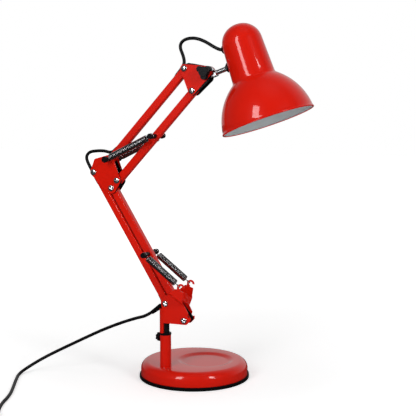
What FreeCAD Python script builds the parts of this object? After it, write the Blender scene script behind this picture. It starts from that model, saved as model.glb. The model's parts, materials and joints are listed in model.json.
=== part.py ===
import FreeCAD, Part
import math
import os

# An architect desk lamp: a weighted round base, a swivelling foot bracket, two arms of
# paired square tubes with tension springs, and a tilting spun shade on a chromed rod.
#
# Millimetres. Origin at the centre of the base's underside, +Z up. The arms move in a
# plane parallel to XZ that passes through the post, and the head points towards +X.
# "Near" is the -Y side of that plane and "far" the +Y side. Places on the arms are given
# as (x, z) from the foot of the post's axis, and y from the arms' plane.

# ---- driving dimensions -------------------------------------------------------------

# base
base_radius = 88.5
base_height = 28.0
base_shoulder = 12.5
cover_wall = 1.2
ring_wall = 2.5
ring_height = 5.5
ring_lip = 3.0
pad_thickness = 3.0
weight_height = 16.0
recess_x = 17.0
recess_y = 7.5
recess_radius = 46.5
recess_floor_radius = 37.0
recess_depth = 3.0

# post and swivel
post_x = -26.5
post_y = -56.5
post_foot_radius = 9.3
post_top_radius = 8.8
post_height = 52.5
post_bore = 7.3
post_shank_radius = 7.0
post_nut_flats = 24.0
post_nut_height = 6.0
collar_height = 3.2
collar_radius = 9.4
collar_sleeve = 42.0
stem_radius = 6.3
stem_wall = 1.4
stem_seam = 2.4
stem_play = 0.08
stem_floor_gap = 0.3
post_bore_rest = 4.0

# thumbscrew that locks the swivel
thumbscrew_below_top = 6.0
thumbscrew_radius = 2.5
thumbscrew_azimuth = 155.0
thumb_knob_radius = 7.4
thumb_knob_length = 7.0
thumb_knob_lobes = 8

# bracket plates, all three pairs
plate_wall = 1.5
liner_wall = 1.5
bar_width = 12.0
bar_play = 0.4
bar_wall = 1.0
bar_corner = 2.0

# pivot screws
screw_radius = 2.0
screw_head_radius = 5.1
screw_head_height = 2.7
screw_slot = 1.1
nut_flats = 7.0
nut_height = 3.0
pivot_play = 0.06
open_pivot_play = 0.3

# arms
rear_foot_step = (4.1, 52.1)
foot_pivot_step = (32.0, -25.1)
lower_length = 243.0
lower_angle = 121.5
elbow_front_step = (41.9, -12.5)
elbow_rear_step = (28.9, 21.6)
upper_length = 193.7
upper_angle = 47.2

# springs
spring_offset = 20.0
spring_radius = 5.6
spring_wire = 1.5
spring_shank = 4.5
lower_spring_along = 121.0
upper_spring_along = 98.0
hook_from_front_pivot = (-0.4, 54.8)
hook_radius = 6.3
hook_bar = 3.1
hook_play = 0.5
spring_pin_radius = 2.4
spring_cap_radius = 4.3
spring_cap_length = 5.0
sleeve_radius = 3.6

# foot bracket
bracket_rise = 20.4
spine_radius = 9.4
spine_play = 0.4
spine_height = 22.6
splay_run = 8.0
splay_reach = 11.4
splay_low_step = (2.15, 21.8)
splay_high_step = (6.2, 14.4)

# head
head_pivot_step = (23.0, 28.5)
rod_drop = 5.9
rod_radius = 3.8
rod_reach = 34.8
clevis_play = 0.3
clevis_eye = 9.0
clevis_tail = 13.5
clevis_tail_wall = 1.0
rod_start_in_clevis = 5.2
clamp_bolt_radius = 3.0
bolt_head_flats = 10.0
bolt_head_height = 4.2
knob_radius = 12.4
knob_lobe = 4.6
knob_length = 10.5

# shade
head_tilt = 19.6
shade_wall = 0.9
rim_radius = 71.4
bell_mid = (36.0, 60.9)
neck_foot = (67.5, 33.4)
neck_shoulder = (124.0, 31.0)
dome_mid = (144.2, 23.1)
dome_top = 153.6
rim_bead = 1.3
rod_height = 97.0
gland_height = 125.0
neck_washer_radius = 8.0
neck_washer_wall = 1.2
washer_gap = 0.4
neck_nut_flats = 11.0
neck_nut_height = 2.6

# lamp holder and bulb (E27)
holder_radius = 19.0
holder_length = 42.0
holder_wall = 2.0
holder_mouth = 72.0
holder_skirt = 15.0
rod_in_holder = 2.4
cap_radius = 13.2
cap_length = 24.0
cap_play = 0.4
bulb_radius = 22.5
bulb_length = 78.0

# cords
cord_radius = 2.6
cord_play = 0.3
lead_end = 14.0
gland_radius = 7.2
gland_length = 4.0
gland_tilt = 25.0
relief_length = 20.0
relief_radius = 4.4
coil_radius = 31.2
coil_pitch = 5.6
coil_turns_across = 4
coil_layers = 2
coil_corner = 4.0

# how the mains lead is held, and its plug
relief_start_step = (-11.9, -6.05)
relief_way = (-0.8, -0.6)
relief_grip = 2.7
cord_end_gap = 0.2
plug_grip = 24.0
grip_radius = 3.6
plug_length = 26.0
plug_width = 34.0
plug_height = 13.0
plug_corner = 3.5
plug_pin_radius = 2.0
plug_pin_length = 19.0
plug_pin_spacing = 19.0

# The free mains lead, from the strain relief to the table and along it. Each point is
# (x, z, y) from the foot of the post's axis.
table_line = cord_radius
mains_route = [
    (-52.0, 103.0, 0),
    (-82.0, 92.0, 0),
    (-117.0, 76.8, 0),
    (-155.0, 57.6, -1.0),
    (-193.0, 38.2, -4.0),
    (-222.0, 22.6, -12.0),
    (-241.0, 9.6, -27.5),
    (-246.5, table_line, -50.0),
    (-232.0, table_line, -80.0),
    (-212.0, table_line, -118.0),
    (-192.0, table_line, -158.0),
    (-178.5, table_line, -203.0),
]
coil_centre = (-186.0, -270.0)
coil_entry_angle = 34.5
coil_exit_angle = -90.0

# ---- derived places -----------------------------------------------------------------

liner_face = bar_width / 2 + bar_play
plate_gap = liner_face + liner_wall
plate_face = plate_gap + plate_wall
post_top = base_height + post_height
ring_radius = base_radius + ring_wall
bracket_bottom = post_top + bracket_rise
spine_top = bracket_bottom + spine_height


def vector(x, y, z):
    return FreeCAD.Vector(x, y, z)


def arm(x, z, y=0.0):
    """Place from the foot of the post's axis, in the arms' plane."""
    return vector(post_x + x, post_y + y, z)


def step(start, move, scale=1.0):
    return (start[0] + scale * move[0], start[1] + scale * move[1])


def heading(angle):
    return (math.cos(math.radians(angle)), math.sin(math.radians(angle)))


def neck_radius_at(height):
    share = (height - neck_foot[0]) / (neck_shoulder[0] - neck_foot[0])
    return neck_foot[1] + share * (neck_shoulder[1] - neck_foot[1])


lower_way = heading(lower_angle)
upper_way = heading(upper_angle)
tilt_way = heading(head_tilt)
shade_up = (-tilt_way[1], tilt_way[0])

rear_foot_pivot = step((0.0, post_top), rear_foot_step)
front_foot_pivot = step(rear_foot_pivot, foot_pivot_step)
elbow_pivot = step(rear_foot_pivot, lower_way, lower_length)
elbow_lower_front = step(elbow_pivot, foot_pivot_step)
elbow_upper_front = step(elbow_pivot, elbow_front_step)
elbow_upper_rear = step(elbow_pivot, elbow_rear_step)
top_front_pivot = step(elbow_upper_front, upper_way, upper_length)
top_rear_pivot = step(elbow_upper_rear, upper_way, upper_length)
head_pivot = step(top_front_pivot, head_pivot_step)
rod_start = step(head_pivot, shade_up, -rod_drop)
rod_end = step(rod_start, tilt_way, rod_reach)
shade_foot = step(step(rod_end, tilt_way, neck_radius_at(rod_height)), shade_up, -rod_height)
hook_place = step(front_foot_pivot, hook_from_front_pivot)
splay_low = step(front_foot_pivot, splay_low_step)
splay_high = step(rear_foot_pivot, splay_high_step)
lower_spring_pin = step(front_foot_pivot, lower_way, lower_spring_along)
upper_spring_pin = step(elbow_upper_front, upper_way, upper_spring_along)
coil_outer_turn = coil_radius + (coil_turns_across - 1) / 2 * coil_pitch
coil_height = (coil_layers - 1) * coil_pitch + 2 * cord_radius


# ---- small tools --------------------------------------------------------------------

def cylinder(start, end, radius):
    return Part.makeCylinder(radius, (end - start).Length, start, end - start)


def pipe(start, end, outer, inner):
    return cylinder(start, end, outer).cut(cylinder(start, end, inner))


def across(place, y_from, y_to, radius):
    """Cylinder along Y at an arm place."""
    return cylinder(arm(*place, y_from), arm(*place, y_to), radius)


def extruded(edges, y_from, y_to):
    face = Part.Face(Part.Wire(edges))
    solid = face.extrude(vector(0, y_to - y_from, 0))
    solid.translate(vector(0, y_from, 0))
    return solid


def rounded_outline(corners):
    """Closed edges through (x, z, radius) corners, in the arms' plane."""
    count = len(corners)
    starts = []
    ends = []
    middles = []
    for i, (x, z, radius) in enumerate(corners):
        here = arm(x, z)
        back = (arm(*corners[i - 1][:2]) - here).normalize()
        ahead = (arm(*corners[(i + 1) % count][:2]) - here).normalize()
        half = back.getAngle(ahead) / 2
        inset = radius / math.tan(half)
        bisector = (back + ahead).normalize()
        starts.append(here + back * inset)
        ends.append(here + ahead * inset)
        middles.append(here + bisector * (radius / math.sin(half) - radius))
    edges = []
    for i, (x, z, radius) in enumerate(corners):
        if radius > 0:
            edges.append(Part.Arc(starts[i], middles[i], ends[i]).toShape())
        edges.append(Part.makeLine(ends[i], starts[(i + 1) % count]))
    return edges


def hull_outline(discs):
    """Closed edges round (x, z, radius) discs, listed anticlockwise seen from -Y."""
    count = len(discs)
    lines = []
    for i, (x, z, radius) in enumerate(discs):
        x2, z2, radius2 = discs[(i + 1) % count]
        dx, dz = x2 - x, z2 - z
        length = math.hypot(dx, dz)
        turn = math.asin((radius - radius2) / length)
        angle = math.atan2(dz, dx) - math.pi / 2 + turn
        normal = (math.cos(angle), math.sin(angle))
        lines.append((step((x, z), normal, radius), step((x2, z2), normal, radius2), angle))
    edges = []
    for i, (start, end, angle) in enumerate(lines):
        x, z, radius = discs[(i + 1) % count]
        next_start, _, next_angle = lines[(i + 1) % count]
        sweep = (next_angle - angle) % (2 * math.pi)
        middle = step((x, z), heading(math.degrees(angle + sweep / 2)), radius)
        edges.append(Part.makeLine(arm(*start), arm(*end)))
        edges.append(Part.Arc(arm(*end), arm(*middle), arm(*next_start)).toShape())
    return edges


def sheet_pair(outline, inner, wall):
    """Two sheets between the same outline, one on each side of the arms' plane."""
    return extruded(outline, -inner - wall, -inner), extruded(outline, inner, inner + wall)


def round_cord(points, radius):
    """A round cord through straight runs joined by tangent arcs, and its centre line."""
    edges = []
    last = points[0]
    tightest = None
    for i in range(1, len(points) - 1):
        here = points[i]
        back = points[i - 1] - here
        ahead = points[i + 1] - here
        half_turn = (math.pi - back.getAngle(ahead)) / 2
        bend = 0.45 * min(back.Length, ahead.Length) / math.tan(half_turn)
        inset = bend * math.tan(half_turn)
        back.normalize()
        ahead.normalize()
        start = here + back * inset
        end = here + ahead * inset
        middle = here + (back + ahead).normalize() * (bend / math.cos(half_turn) - bend)
        edges.append(Part.makeLine(last, start))
        edges.append(Part.Arc(start, middle, end).toShape())
        last = end
        tightest = bend if tightest is None else min(tightest, bend)
    edges.append(Part.makeLine(last, points[-1]))
    path = Part.Wire(edges)
    first_run = points[1] - points[0]
    section = Part.Wire(Part.makeCircle(radius, points[0], first_run))
    solid = path.makePipeShell([section], True, True)
    return solid, path.Length, tightest


def report_cord(name, made):
    solid, length, tightest = made
    swept = math.pi * cord_radius ** 2 * length
    print(f"{name}: {length:.0f} mm long, tightest bend {tightest or 0:.1f} mm,"
          f" volume {100 * solid.Volume / swept:.1f}% of section times length")
    return solid


def hex_prism(start, end, flats):
    axis = end - start
    side = vector(0, 1, 0) if abs(axis.normalize().y) < 0.9 else vector(1, 0, 0)
    across_axis = axis.cross(side).normalize()
    corners = []
    for i in range(7):
        turn = FreeCAD.Rotation(axis, 60 * i)
        corners.append(start + turn.multVec(across_axis) * (flats / math.sqrt(3)))
    return Part.Face(Part.makePolygon(corners)).extrude(end - start)


def save(name, shape):
    solids = shape.Solids
    assert solids and all(s.isValid() for s in solids), name
    shape.exportStep(f"parts/{name}.step")
    print(f"{name}: {len(solids)} solid(s), {sum(s.Volume for s in solids) / 1000:.1f} cm3")


def save_pair(name, pair):
    near, far = pair
    save(f"{name}_near", near)
    save(f"{name}_far", far)


def save_group(name, solids):
    save(name, Part.makeCompound(solids))


# ---- base ---------------------------------------------------------------------------

def base_form(inset):
    """Solid form of the pressed cover, drawn in by `inset` on every side."""
    radius = base_radius - inset
    height = base_height - inset
    shoulder = base_shoulder - inset
    middle = shoulder * math.sqrt(0.5)
    edges = [
        Part.makeLine(vector(0, 0, 0), vector(radius, 0, 0)),
        Part.makeLine(vector(radius, 0, 0), vector(radius, 0, height - shoulder)),
        Part.Arc(
            vector(radius, 0, height - shoulder),
            vector(radius - shoulder + middle, 0, height - shoulder + middle),
            vector(radius - shoulder, 0, height),
        ).toShape(),
        Part.makeLine(vector(radius - shoulder, 0, height), vector(0, 0, height)),
        Part.makeLine(vector(0, 0, height), vector(0, 0, 0)),
    ]
    form = Part.Face(Part.Wire(edges)).revolve(vector(0, 0, 0), vector(0, 0, 1), 360)
    slope = (recess_radius - recess_floor_radius) / recess_depth
    overshoot = 1.0
    dish = Part.makeCone(
        recess_floor_radius + inset,
        recess_radius + inset + slope * overshoot,
        recess_depth + overshoot,
        vector(recess_x, recess_y, height - recess_depth),
    )
    return form.cut(dish)


def post_hole(radius):
    return cylinder(arm(0, -1), arm(0, base_height + 1), radius)


def build_base():
    cover_foot = pad_thickness
    below = cylinder(vector(0, 0, -1), vector(0, 0, cover_foot), 2 * base_radius)
    cover = base_form(0).cut(base_form(cover_wall)).cut(below).cut(post_hole(post_shank_radius))
    save("base_cover", cover)

    weight_radius = base_radius - base_shoulder
    weight_top = pad_thickness + weight_height
    weight = cylinder(vector(0, 0, pad_thickness), vector(0, 0, weight_top), weight_radius)
    weight = weight.cut(post_hole(post_nut_flats * 0.7))
    save("base_weight", weight)

    save("base_pad", cylinder(vector(0, 0, 0), vector(0, 0, pad_thickness), ring_radius - ring_lip))

    ring = pipe(vector(0, 0, 0), vector(0, 0, ring_height), ring_radius, base_radius)
    foot = pipe(vector(0, 0, 0), vector(0, 0, pad_thickness), ring_radius, ring_radius - ring_lip)
    save("base_ring", ring.fuse(foot).removeSplitter())


def build_post():
    outer = Part.makeCone(post_foot_radius, post_top_radius, post_height, arm(0, base_height))
    shank_foot = base_height - cover_wall - post_nut_height - 2.0
    outer = outer.fuse(cylinder(arm(0, shank_foot), arm(0, base_height), post_shank_radius))
    bore_foot = post_top - collar_sleeve - post_bore_rest
    post = outer.cut(cylinder(arm(0, bore_foot), arm(0, post_top), post_bore))
    save("post", post.cut(thumbscrew_shank(thumbscrew_radius)).removeSplitter())

    nut_top = base_height - cover_wall
    nut = hex_prism(arm(0, nut_top - post_nut_height), arm(0, nut_top), post_nut_flats)
    save("post_nut", nut.cut(post_hole(post_shank_radius)))

    sleeve = cylinder(arm(0, post_top - collar_sleeve), arm(0, post_top), post_bore)
    collar = cylinder(arm(0, post_top), arm(0, post_top + collar_height), collar_radius)
    bush = sleeve.fuse(collar)
    bush = bush.cut(cylinder(arm(0, 0), arm(0, post_top + collar_height), stem_radius + stem_play))
    save("collar_bush", bush.cut(thumbscrew_shank(thumbscrew_radius)).removeSplitter())


def thumbscrew_axis(distance):
    way = heading(thumbscrew_azimuth)
    height = post_top - thumbscrew_below_top
    return arm(distance * way[0], height, distance * way[1])


def thumbscrew_shank(radius):
    start = thumbscrew_axis(stem_radius + stem_play)
    return cylinder(start, thumbscrew_axis(post_foot_radius + 1), radius)


def build_thumbscrew():
    tip = stem_radius + 0.3
    knob_start = post_foot_radius + 0.5
    shank = cylinder(thumbscrew_axis(tip), thumbscrew_axis(knob_start + 4), thumbscrew_radius - pivot_play)
    knob_end = knob_start + thumb_knob_length
    knob = cylinder(thumbscrew_axis(knob_start), thumbscrew_axis(knob_end), thumb_knob_radius)
    axis = thumbscrew_axis(1) - thumbscrew_axis(0)
    for i in range(thumb_knob_lobes):
        around = FreeCAD.Rotation(axis, 360 * i / thumb_knob_lobes).multVec(vector(0, 0, 1))
        groove = around * (thumb_knob_radius + 0.5)
        knob = knob.cut(cylinder(
            thumbscrew_axis(knob_start - 1) + groove,
            thumbscrew_axis(knob_end + 1) + groove,
            1.6,
        ))
    save("thumbscrew_knob", knob.cut(shank))
    save("thumbscrew_stud", shank)


# ---- pivots -------------------------------------------------------------------------

def pan_head(place, face):
    """Domed head with a cross recess, standing on the near face of a plate."""
    dome_radius = (screw_head_radius ** 2 + screw_head_height ** 2) / (2 * screw_head_height)
    centre = arm(*place, -face - screw_head_height + dome_radius)
    dome = Part.makeSphere(dome_radius, centre)
    head = dome.common(across(place, -face - screw_head_height - 1, -face, screw_head_radius))
    recess_length = screw_head_radius * 0.95
    recess_depth_in_head = screw_head_height * 0.55
    for turn in (40, 130):
        bar = Part.makeBox(recess_length, 2 * recess_depth_in_head, screw_slot)
        bar.translate(vector(-recess_length / 2, -recess_depth_in_head, -screw_slot / 2))
        bar.rotate(vector(0, 0, 0), vector(0, 1, 0), turn)
        bar.translate(arm(*place, -face - screw_head_height))
        head = head.cut(bar)
    return head


def pivot_screw(place, face):
    tip = face + nut_height + 1.0
    return pan_head(place, face).fuse(across(place, -face, tip, screw_radius)).removeSplitter()


def pivot_nut(place, face, radius=screw_radius, flats=nut_flats, height=nut_height):
    nut = hex_prism(arm(*place, face), arm(*place, face + height), flats)
    return nut.cut(across(place, face - 1, face + height + 1, radius))


def drilled(solid, places, radius):
    for place in places:
        solid = solid.cut(across(place, -3 * plate_face, 3 * plate_face, radius))
    return solid


# ---- bars ---------------------------------------------------------------------------

def rounded_square(width, corner):
    half = width / 2
    inner = half - corner
    bend = corner * math.sqrt(0.5)
    edges = []
    for i in range(4):
        turn = FreeCAD.Rotation(vector(1, 0, 0), 90 * i)
        corner_points = [
            vector(0, -inner, half),
            vector(0, inner, half),
            vector(0, inner + bend, inner + bend),
            vector(0, half, inner),
        ]
        a, b, c, d = [turn.multVec(p) for p in corner_points]
        edges.append(Part.makeLine(a, b))
        edges.append(Part.Arc(b, c, d).toShape())
    return Part.Face(Part.Wire(Part.__sortEdges__(edges)))


def along_x(face, start, end):
    solid = face.extrude(vector(end - start, 0, 0))
    solid.translate(vector(start, 0, 0))
    return solid


def lie_along(solid, place, angle):
    """Turn a piece drawn along +X to run at `angle` from an arm place."""
    solid.rotate(vector(0, 0, 0), vector(0, 1, 0), -angle)
    solid.translate(arm(*place))
    return solid


def end_form(length):
    """Side view of a bar: a strip with half-round ends."""
    half = bar_width / 2
    strip = Part.makeBox(length, bar_width, bar_width, vector(0, -half, -half))
    for x in (0, length):
        strip = strip.fuse(Part.makeCylinder(half, bar_width, vector(x, -half, 0), vector(0, 1, 0)))
    return strip


def y_hole(x, radius):
    return Part.makeCylinder(radius, 4 * bar_width, vector(x, -2 * bar_width, 0), vector(0, 1, 0))


def cord_slot(length, end):
    """Open slot in a bar's outer wall, where the cord lies half sunk and then goes inside."""
    reach = lead_end + 19.0
    half = cord_radius + cord_play
    start = -bar_width if end == "foot" else length - reach
    return Part.makeBox(reach + bar_width, 2 * half, 2 * half, vector(start, -half, bar_width / 2 - half))


def build_bar(name, place, angle, length, pin_along=None, cord=False, head_play=pivot_play):
    half = bar_width / 2
    outer = along_x(rounded_square(bar_width, bar_corner), -half, length + half)
    outer = outer.common(end_form(length))
    bore = rounded_square(bar_width - 2 * bar_wall, bar_corner - bar_wall)
    bar = outer.cut(along_x(bore, -bar_width, length + bar_width))
    bar = bar.cut(y_hole(0, screw_radius + pivot_play))
    bar = bar.cut(y_hole(length, screw_radius + head_play))
    if pin_along:
        bar = bar.cut(y_hole(pin_along, spring_pin_radius))
    if cord:
        for end in ("foot", "head"):
            bar = bar.cut(cord_slot(length, end))
    save(name, lie_along(bar, place, angle))


def beside_bar(place, way, along, offset):
    """Place at a distance along a bar and out from its centre line, on its upper left side."""
    outward = (-way[1], way[0])
    return step(step(place, way, along), outward, offset)


def bar_lead(place, way, length):
    """The cord inside a bar: half sunk in the outer wall at both ends, central between."""
    sunk = bar_width / 2
    turn_in = lead_end + 6.0
    central = lead_end + 20.0
    stations = [
        (lead_end, sunk),
        (turn_in, sunk),
        (central, 0),
        (length - central, 0),
        (length - turn_in, sunk),
        (length - lead_end, sunk),
    ]
    return [beside_bar(place, way, along, offset) for along, offset in stations]


def build_bars():
    build_bar("lower_rear_bar", rear_foot_pivot, lower_angle, lower_length, cord=True)
    build_bar("lower_front_bar", front_foot_pivot, lower_angle, lower_length,
              pin_along=lower_spring_along, head_play=open_pivot_play)
    build_bar("upper_rear_bar", elbow_upper_rear, upper_angle, upper_length, cord=True)
    build_bar("upper_front_bar", elbow_upper_front, upper_angle, upper_length,
              pin_along=upper_spring_along, head_play=open_pivot_play)


# ---- springs ------------------------------------------------------------------------

def spring_pin(place, inner, pin_radius, cap_radius):
    """Cross pin, and on each side a spool: sleeve, groove for the spring's eye, and cap."""
    groove_start = spring_offset - spring_wire
    groove_end = spring_offset + spring_wire
    pin_end = groove_end + spring_cap_length
    groove_radius = spring_pin_radius + 0.7
    pin = across(place, -pin_end + 1, pin_end - 1, pin_radius)
    spools = []
    for side in (-1, 1):
        sleeve = across(place, side * inner, side * groove_start, sleeve_radius)
        groove = across(place, side * groove_start, side * groove_end, groove_radius)
        cap = across(place, side * groove_end, side * pin_end, cap_radius)
        spools.append(sleeve.fuse(groove).fuse(cap).removeSplitter().cut(pin))
    return pin, spools


def spring(start, end, start_eye, end_eye, hooked):
    """Extension spring as its closed barrel, with a wire eye round each fixing.

    The eye at the end lies flat beside the arms, or across them when it is `hooked`
    through a plate.
    """
    way = (end - start).normalize()
    sideways = vector(0, 1, 0)
    end_axis = way.cross(sideways) if hooked else sideways
    wire = spring_wire / 2
    barrel_start = start + way * (start_eye + spring_shank)
    barrel_end = end - way * (end_eye + spring_shank)
    spring_solid = cylinder(barrel_start, barrel_end, spring_radius)
    spring_solid = spring_solid.cut(cylinder(
        barrel_start + way * spring_wire,
        barrel_end - way * spring_wire,
        spring_radius - spring_wire,
    ))
    for centre, eye, face, axis in (
        (start, start_eye, barrel_start + way * wire, sideways),
        (end, end_eye, barrel_end - way * wire, end_axis),
    ):
        ring = Part.makeTorus(eye + wire, wire, centre, axis)
        toward = (face - centre).normalize()
        shank = cylinder(centre + toward * (eye + wire), face, wire)
        spring_solid = spring_solid.fuse(ring).fuse(shank)
    return spring_solid


def build_springs():
    pin_eye = spring_pin_radius + 0.95
    hook_eye = hook_bar / 2 + hook_play
    pull = arm(*lower_spring_pin) - arm(*hook_place)
    pull_way = (pull.x / pull.Length, pull.z / pull.Length)
    hook_seat = step(hook_place, pull_way, hook_radius - hook_bar / 2)
    lower = []
    upper = []
    for side in (-1, 1):
        y = side * spring_offset
        lower.append(spring(arm(*lower_spring_pin, y), arm(*hook_seat, y), pin_eye, hook_eye, True))
        upper.append(spring(arm(*elbow_upper_rear, y), arm(*upper_spring_pin, y), pin_eye, pin_eye,
                            False))
    save_group("lower_springs", lower)
    save_group("upper_springs", upper)
    for name, place in (("lower", lower_spring_pin), ("upper", upper_spring_pin)):
        pin, caps = spring_pin(place, bar_width / 2, spring_pin_radius, spring_cap_radius)
        save(f"{name}_spring_pin", pin)
        save_group(f"{name}_spring_caps", caps)


# ---- foot bracket -------------------------------------------------------------------

def splayed_strip(side):
    """Strip that steps outwards from the bracket's upper fold to the springs' plane."""
    fold = (splay_high[0] - splay_low[0], splay_high[1] - splay_low[1])
    length = math.hypot(*fold)
    out = (fold[1] / length, -fold[0] / length)
    spring_plane = plate_gap + splay_reach
    overlap = 1.0
    reach = 30.0
    stations = [
        (-overlap, plate_gap),
        (0.0, plate_gap),
        (splay_run, spring_plane),
        (reach, spring_plane),
    ]
    inner = [arm(*step(splay_low, out, n), side * y) for n, y in stations]
    outer = [p + vector(0, side * plate_wall, 0) for p in inner]
    profile = Part.Face(Part.makePolygon(inner + outer[::-1] + inner[:1]))
    return profile.extrude(arm(*splay_high) - arm(*splay_low))


def hook_eye_plate(y_from, y_to):
    """The open eye that the spring hooks into, and the neck it stands on."""
    x, z = hook_place
    hole = hook_radius - hook_bar
    eye = across(hook_place, y_from, y_to, hook_radius)
    eye = eye.cut(across(hook_place, y_from - 1, y_to + 1, hole))
    mouth = rounded_outline([
        (x + 0.5, z + 0.3, 0),
        (x - 0.6 * hook_radius, z - 1.5 * hook_radius, 0),
        (x + 2 * hook_radius, z - 1.5 * hook_radius, 0),
        (x + 2 * hook_radius, z - 0.4 * hook_radius, 0),
    ])
    eye = eye.cut(extruded(mouth, y_from - 1, y_to + 1))
    neck = rounded_outline([
        (x - hook_radius, z, 0),
        (x - hook_radius - 1.6, z - 6.0, 0),
        (x - hole + 1.6, z - 6.0, 0),
        (x - hole, z, 0),
    ])
    return eye.fuse(extruded(neck, y_from, y_to))


def splayed_tab(side):
    """The bracket's upper edge: its splayed strip cut to shape, with the spring's hook."""
    x, z = hook_place
    outline = rounded_outline([
        (*splay_low, 0),
        (x + 2.4, z - 18.5, 4),
        (x + 4.4, z - 7.0, 1),
        (x - 9.6, z - 2.4, 1),
        (x - 21.0, z - 11.5, 3),
        (*splay_high, 0),
        (splay_high[0] + 1.0, splay_high[1] - 2.5, 0),
        (splay_low[0] - 1.0, splay_low[1] - 2.5, 0),
    ])
    tab = splayed_strip(side).common(extruded(outline, -40, 40))
    inner = plate_gap + splay_reach
    y_from, y_to = sorted((side * inner, side * (inner + plate_wall)))
    return tab.fuse(hook_eye_plate(y_from, y_to))


def foot_plate_outline():
    front_x, front_z = front_foot_pivot
    rear_x, rear_z = rear_foot_pivot
    return rounded_outline([
        (0, bracket_bottom, 0),
        (front_x + 4.5, bracket_bottom, 4),
        (front_x + 10.8, front_z + 0.5, 3),
        (front_x + 11.3, front_z + 7.3, 1.2),
        (front_x + 8.2, front_z + 4.6, 1),
        (front_x + 6.0, front_z + 7.4, 1),
        (front_x + 7.2, front_z + 12.0, 2),
        (*splay_low, 0),
        (*splay_high, 2),
        (rear_x - 2.5, rear_z + 13.0, 5),
        (rear_x - 7.6, rear_z + 2.0, 5),
        (rear_x - 6.0, spine_top, 1),
        (0, spine_top - 1, 0),
    ])


def build_foot_bracket():
    near, far = sheet_pair(foot_plate_outline(), plate_gap, plate_wall)
    spine_foot = post_top + collar_height + spine_play
    spine = pipe(arm(0, spine_foot), arm(0, spine_top), spine_radius, stem_radius)
    behind = Part.makeBox(40, 40, 80, arm(-40, spine_foot, -20))
    bracket = spine.common(behind).fuse(near).fuse(far)
    for side in (-1, 1):
        bracket = bracket.fuse(splayed_tab(side))
    bracket = drilled(bracket, [rear_foot_pivot, front_foot_pivot], screw_radius)
    bracket = bracket.cut(relief_solid(cord_play))
    save("foot_bracket", bracket.removeSplitter())

    stem_foot = post_top - collar_sleeve - post_bore_rest + stem_floor_gap
    stem_top = spine_top - 8.0
    stem = pipe(arm(0, stem_foot), arm(0, stem_top), stem_radius, stem_radius - stem_wall)
    seam = Part.makeBox(stem_radius * 2, stem_seam, stem_top, arm(0, 0, -stem_seam / 2))
    save("swivel_stem", stem.cut(seam))

    liner = hull_outline([
        (front_foot_pivot[0], front_foot_pivot[1], 6.8),
        (front_foot_pivot[0] + 4.6, front_foot_pivot[1] + 2.0, 5.2),
        (rear_foot_pivot[0] + 12.0, rear_foot_pivot[1] + 3.5, 6.5),
        (rear_foot_pivot[0] + 0.5, rear_foot_pivot[1], 6.5),
    ])
    pair = sheet_pair(liner, liner_face, liner_wall)
    places = [rear_foot_pivot, front_foot_pivot]
    save_group("foot_liners", [drilled(liner, places, screw_radius) for liner in pair])
    save_group("foot_screws", [pivot_screw(p, plate_face) for p in places])
    save_group("foot_nuts", [pivot_nut(p, plate_face) for p in places])


# ---- elbow --------------------------------------------------------------------------

def build_elbow():
    def at(dx, dz, radius):
        return (*step(elbow_pivot, (dx, dz)), radius)

    plate = hull_outline([
        at(0, 0, 6.2),
        at(32.0, -25.1, 8.7),
        at(41.9, -12.5, 6.6),
        at(28.9, 21.6, 7.2),
        at(5.0, 18.2, 4.2),
    ])
    liner = hull_outline([
        at(0.5, 0, 6.0),
        at(32.3, -25.1, 9.0),
        at(43.2, -13.8, 6.2),
        at(27.5, 20.8, 5.2),
        at(8.0, 15.5, 4.5),
    ])
    places = [elbow_pivot, elbow_lower_front, elbow_upper_front, elbow_upper_rear]
    screws = places[:-1]
    plates = sheet_pair(plate, plate_gap, plate_wall)
    liners = sheet_pair(liner, liner_face, liner_wall)
    save_pair("elbow_plate", [drilled(plate, places, screw_radius) for plate in plates])
    save_group("elbow_liners", [drilled(liner, places, screw_radius) for liner in liners])
    save_group("elbow_screws", [pivot_screw(p, plate_face) for p in screws])
    save_group("elbow_nuts", [pivot_nut(p, plate_face) for p in screws])

    pin, caps = spring_pin(elbow_upper_rear, plate_face, screw_radius, spring_cap_radius + 0.6)
    save("elbow_spring_pin", pin)
    save_group("elbow_spring_caps", caps)


# ---- top bracket --------------------------------------------------------------------

def build_top_bracket():
    front = (*top_front_pivot, 6.3)
    rear = (*top_rear_pivot, 6.6)
    head = (*head_pivot, 9.2)
    plates = sheet_pair(hull_outline([front, head, rear]), plate_gap, plate_wall)
    liner = hull_outline([
        (top_front_pivot[0] + 1.2, top_front_pivot[1] - 0.6, 6.6),
        (head_pivot[0] + 2.6, head_pivot[1] - 10.6, 3.6),
        (*head_pivot, 8.6),
        (top_rear_pivot[0] + 7.0, top_rear_pivot[1] + 3.6, 5.0),
        (top_rear_pivot[0], top_rear_pivot[1], 6.2),
    ])
    liners = sheet_pair(liner, liner_face, liner_wall)
    screws = [top_front_pivot, top_rear_pivot]

    def holed(sheet):
        return drilled(drilled(sheet, screws, screw_radius), [head_pivot], clamp_bolt_radius)

    save_pair("top_plate", [holed(plate) for plate in plates])
    save_group("top_liners", [holed(liner) for liner in liners])
    save_group("top_screws", [pivot_screw(p, plate_face) for p in screws])
    save_group("top_nuts", [pivot_nut(p, plate_face) for p in screws])


def clamp_knob():
    """Three-lobed knob on the near end of the clamp bolt."""
    inner = -plate_face - 1.6
    outer = inner - knob_length
    hub = across(head_pivot, outer, inner, knob_radius * 0.62)
    waist = across(head_pivot, inner, -plate_face - 0.3, 5.5)
    knob = hub.fuse(waist)
    lobe_centre = knob_radius - knob_lobe
    for i in range(3):
        place = step(head_pivot, heading(-90 + 120 * i), lobe_centre)
        knob = knob.fuse(across(place, outer + 1.2, inner, knob_lobe))
    for i in range(3):
        scallop = step(head_pivot, heading(-30 + 120 * i), knob_radius + 2.2)
        knob = knob.cut(across(scallop, outer - 1, inner + 1, 7.2))
    return knob


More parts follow.
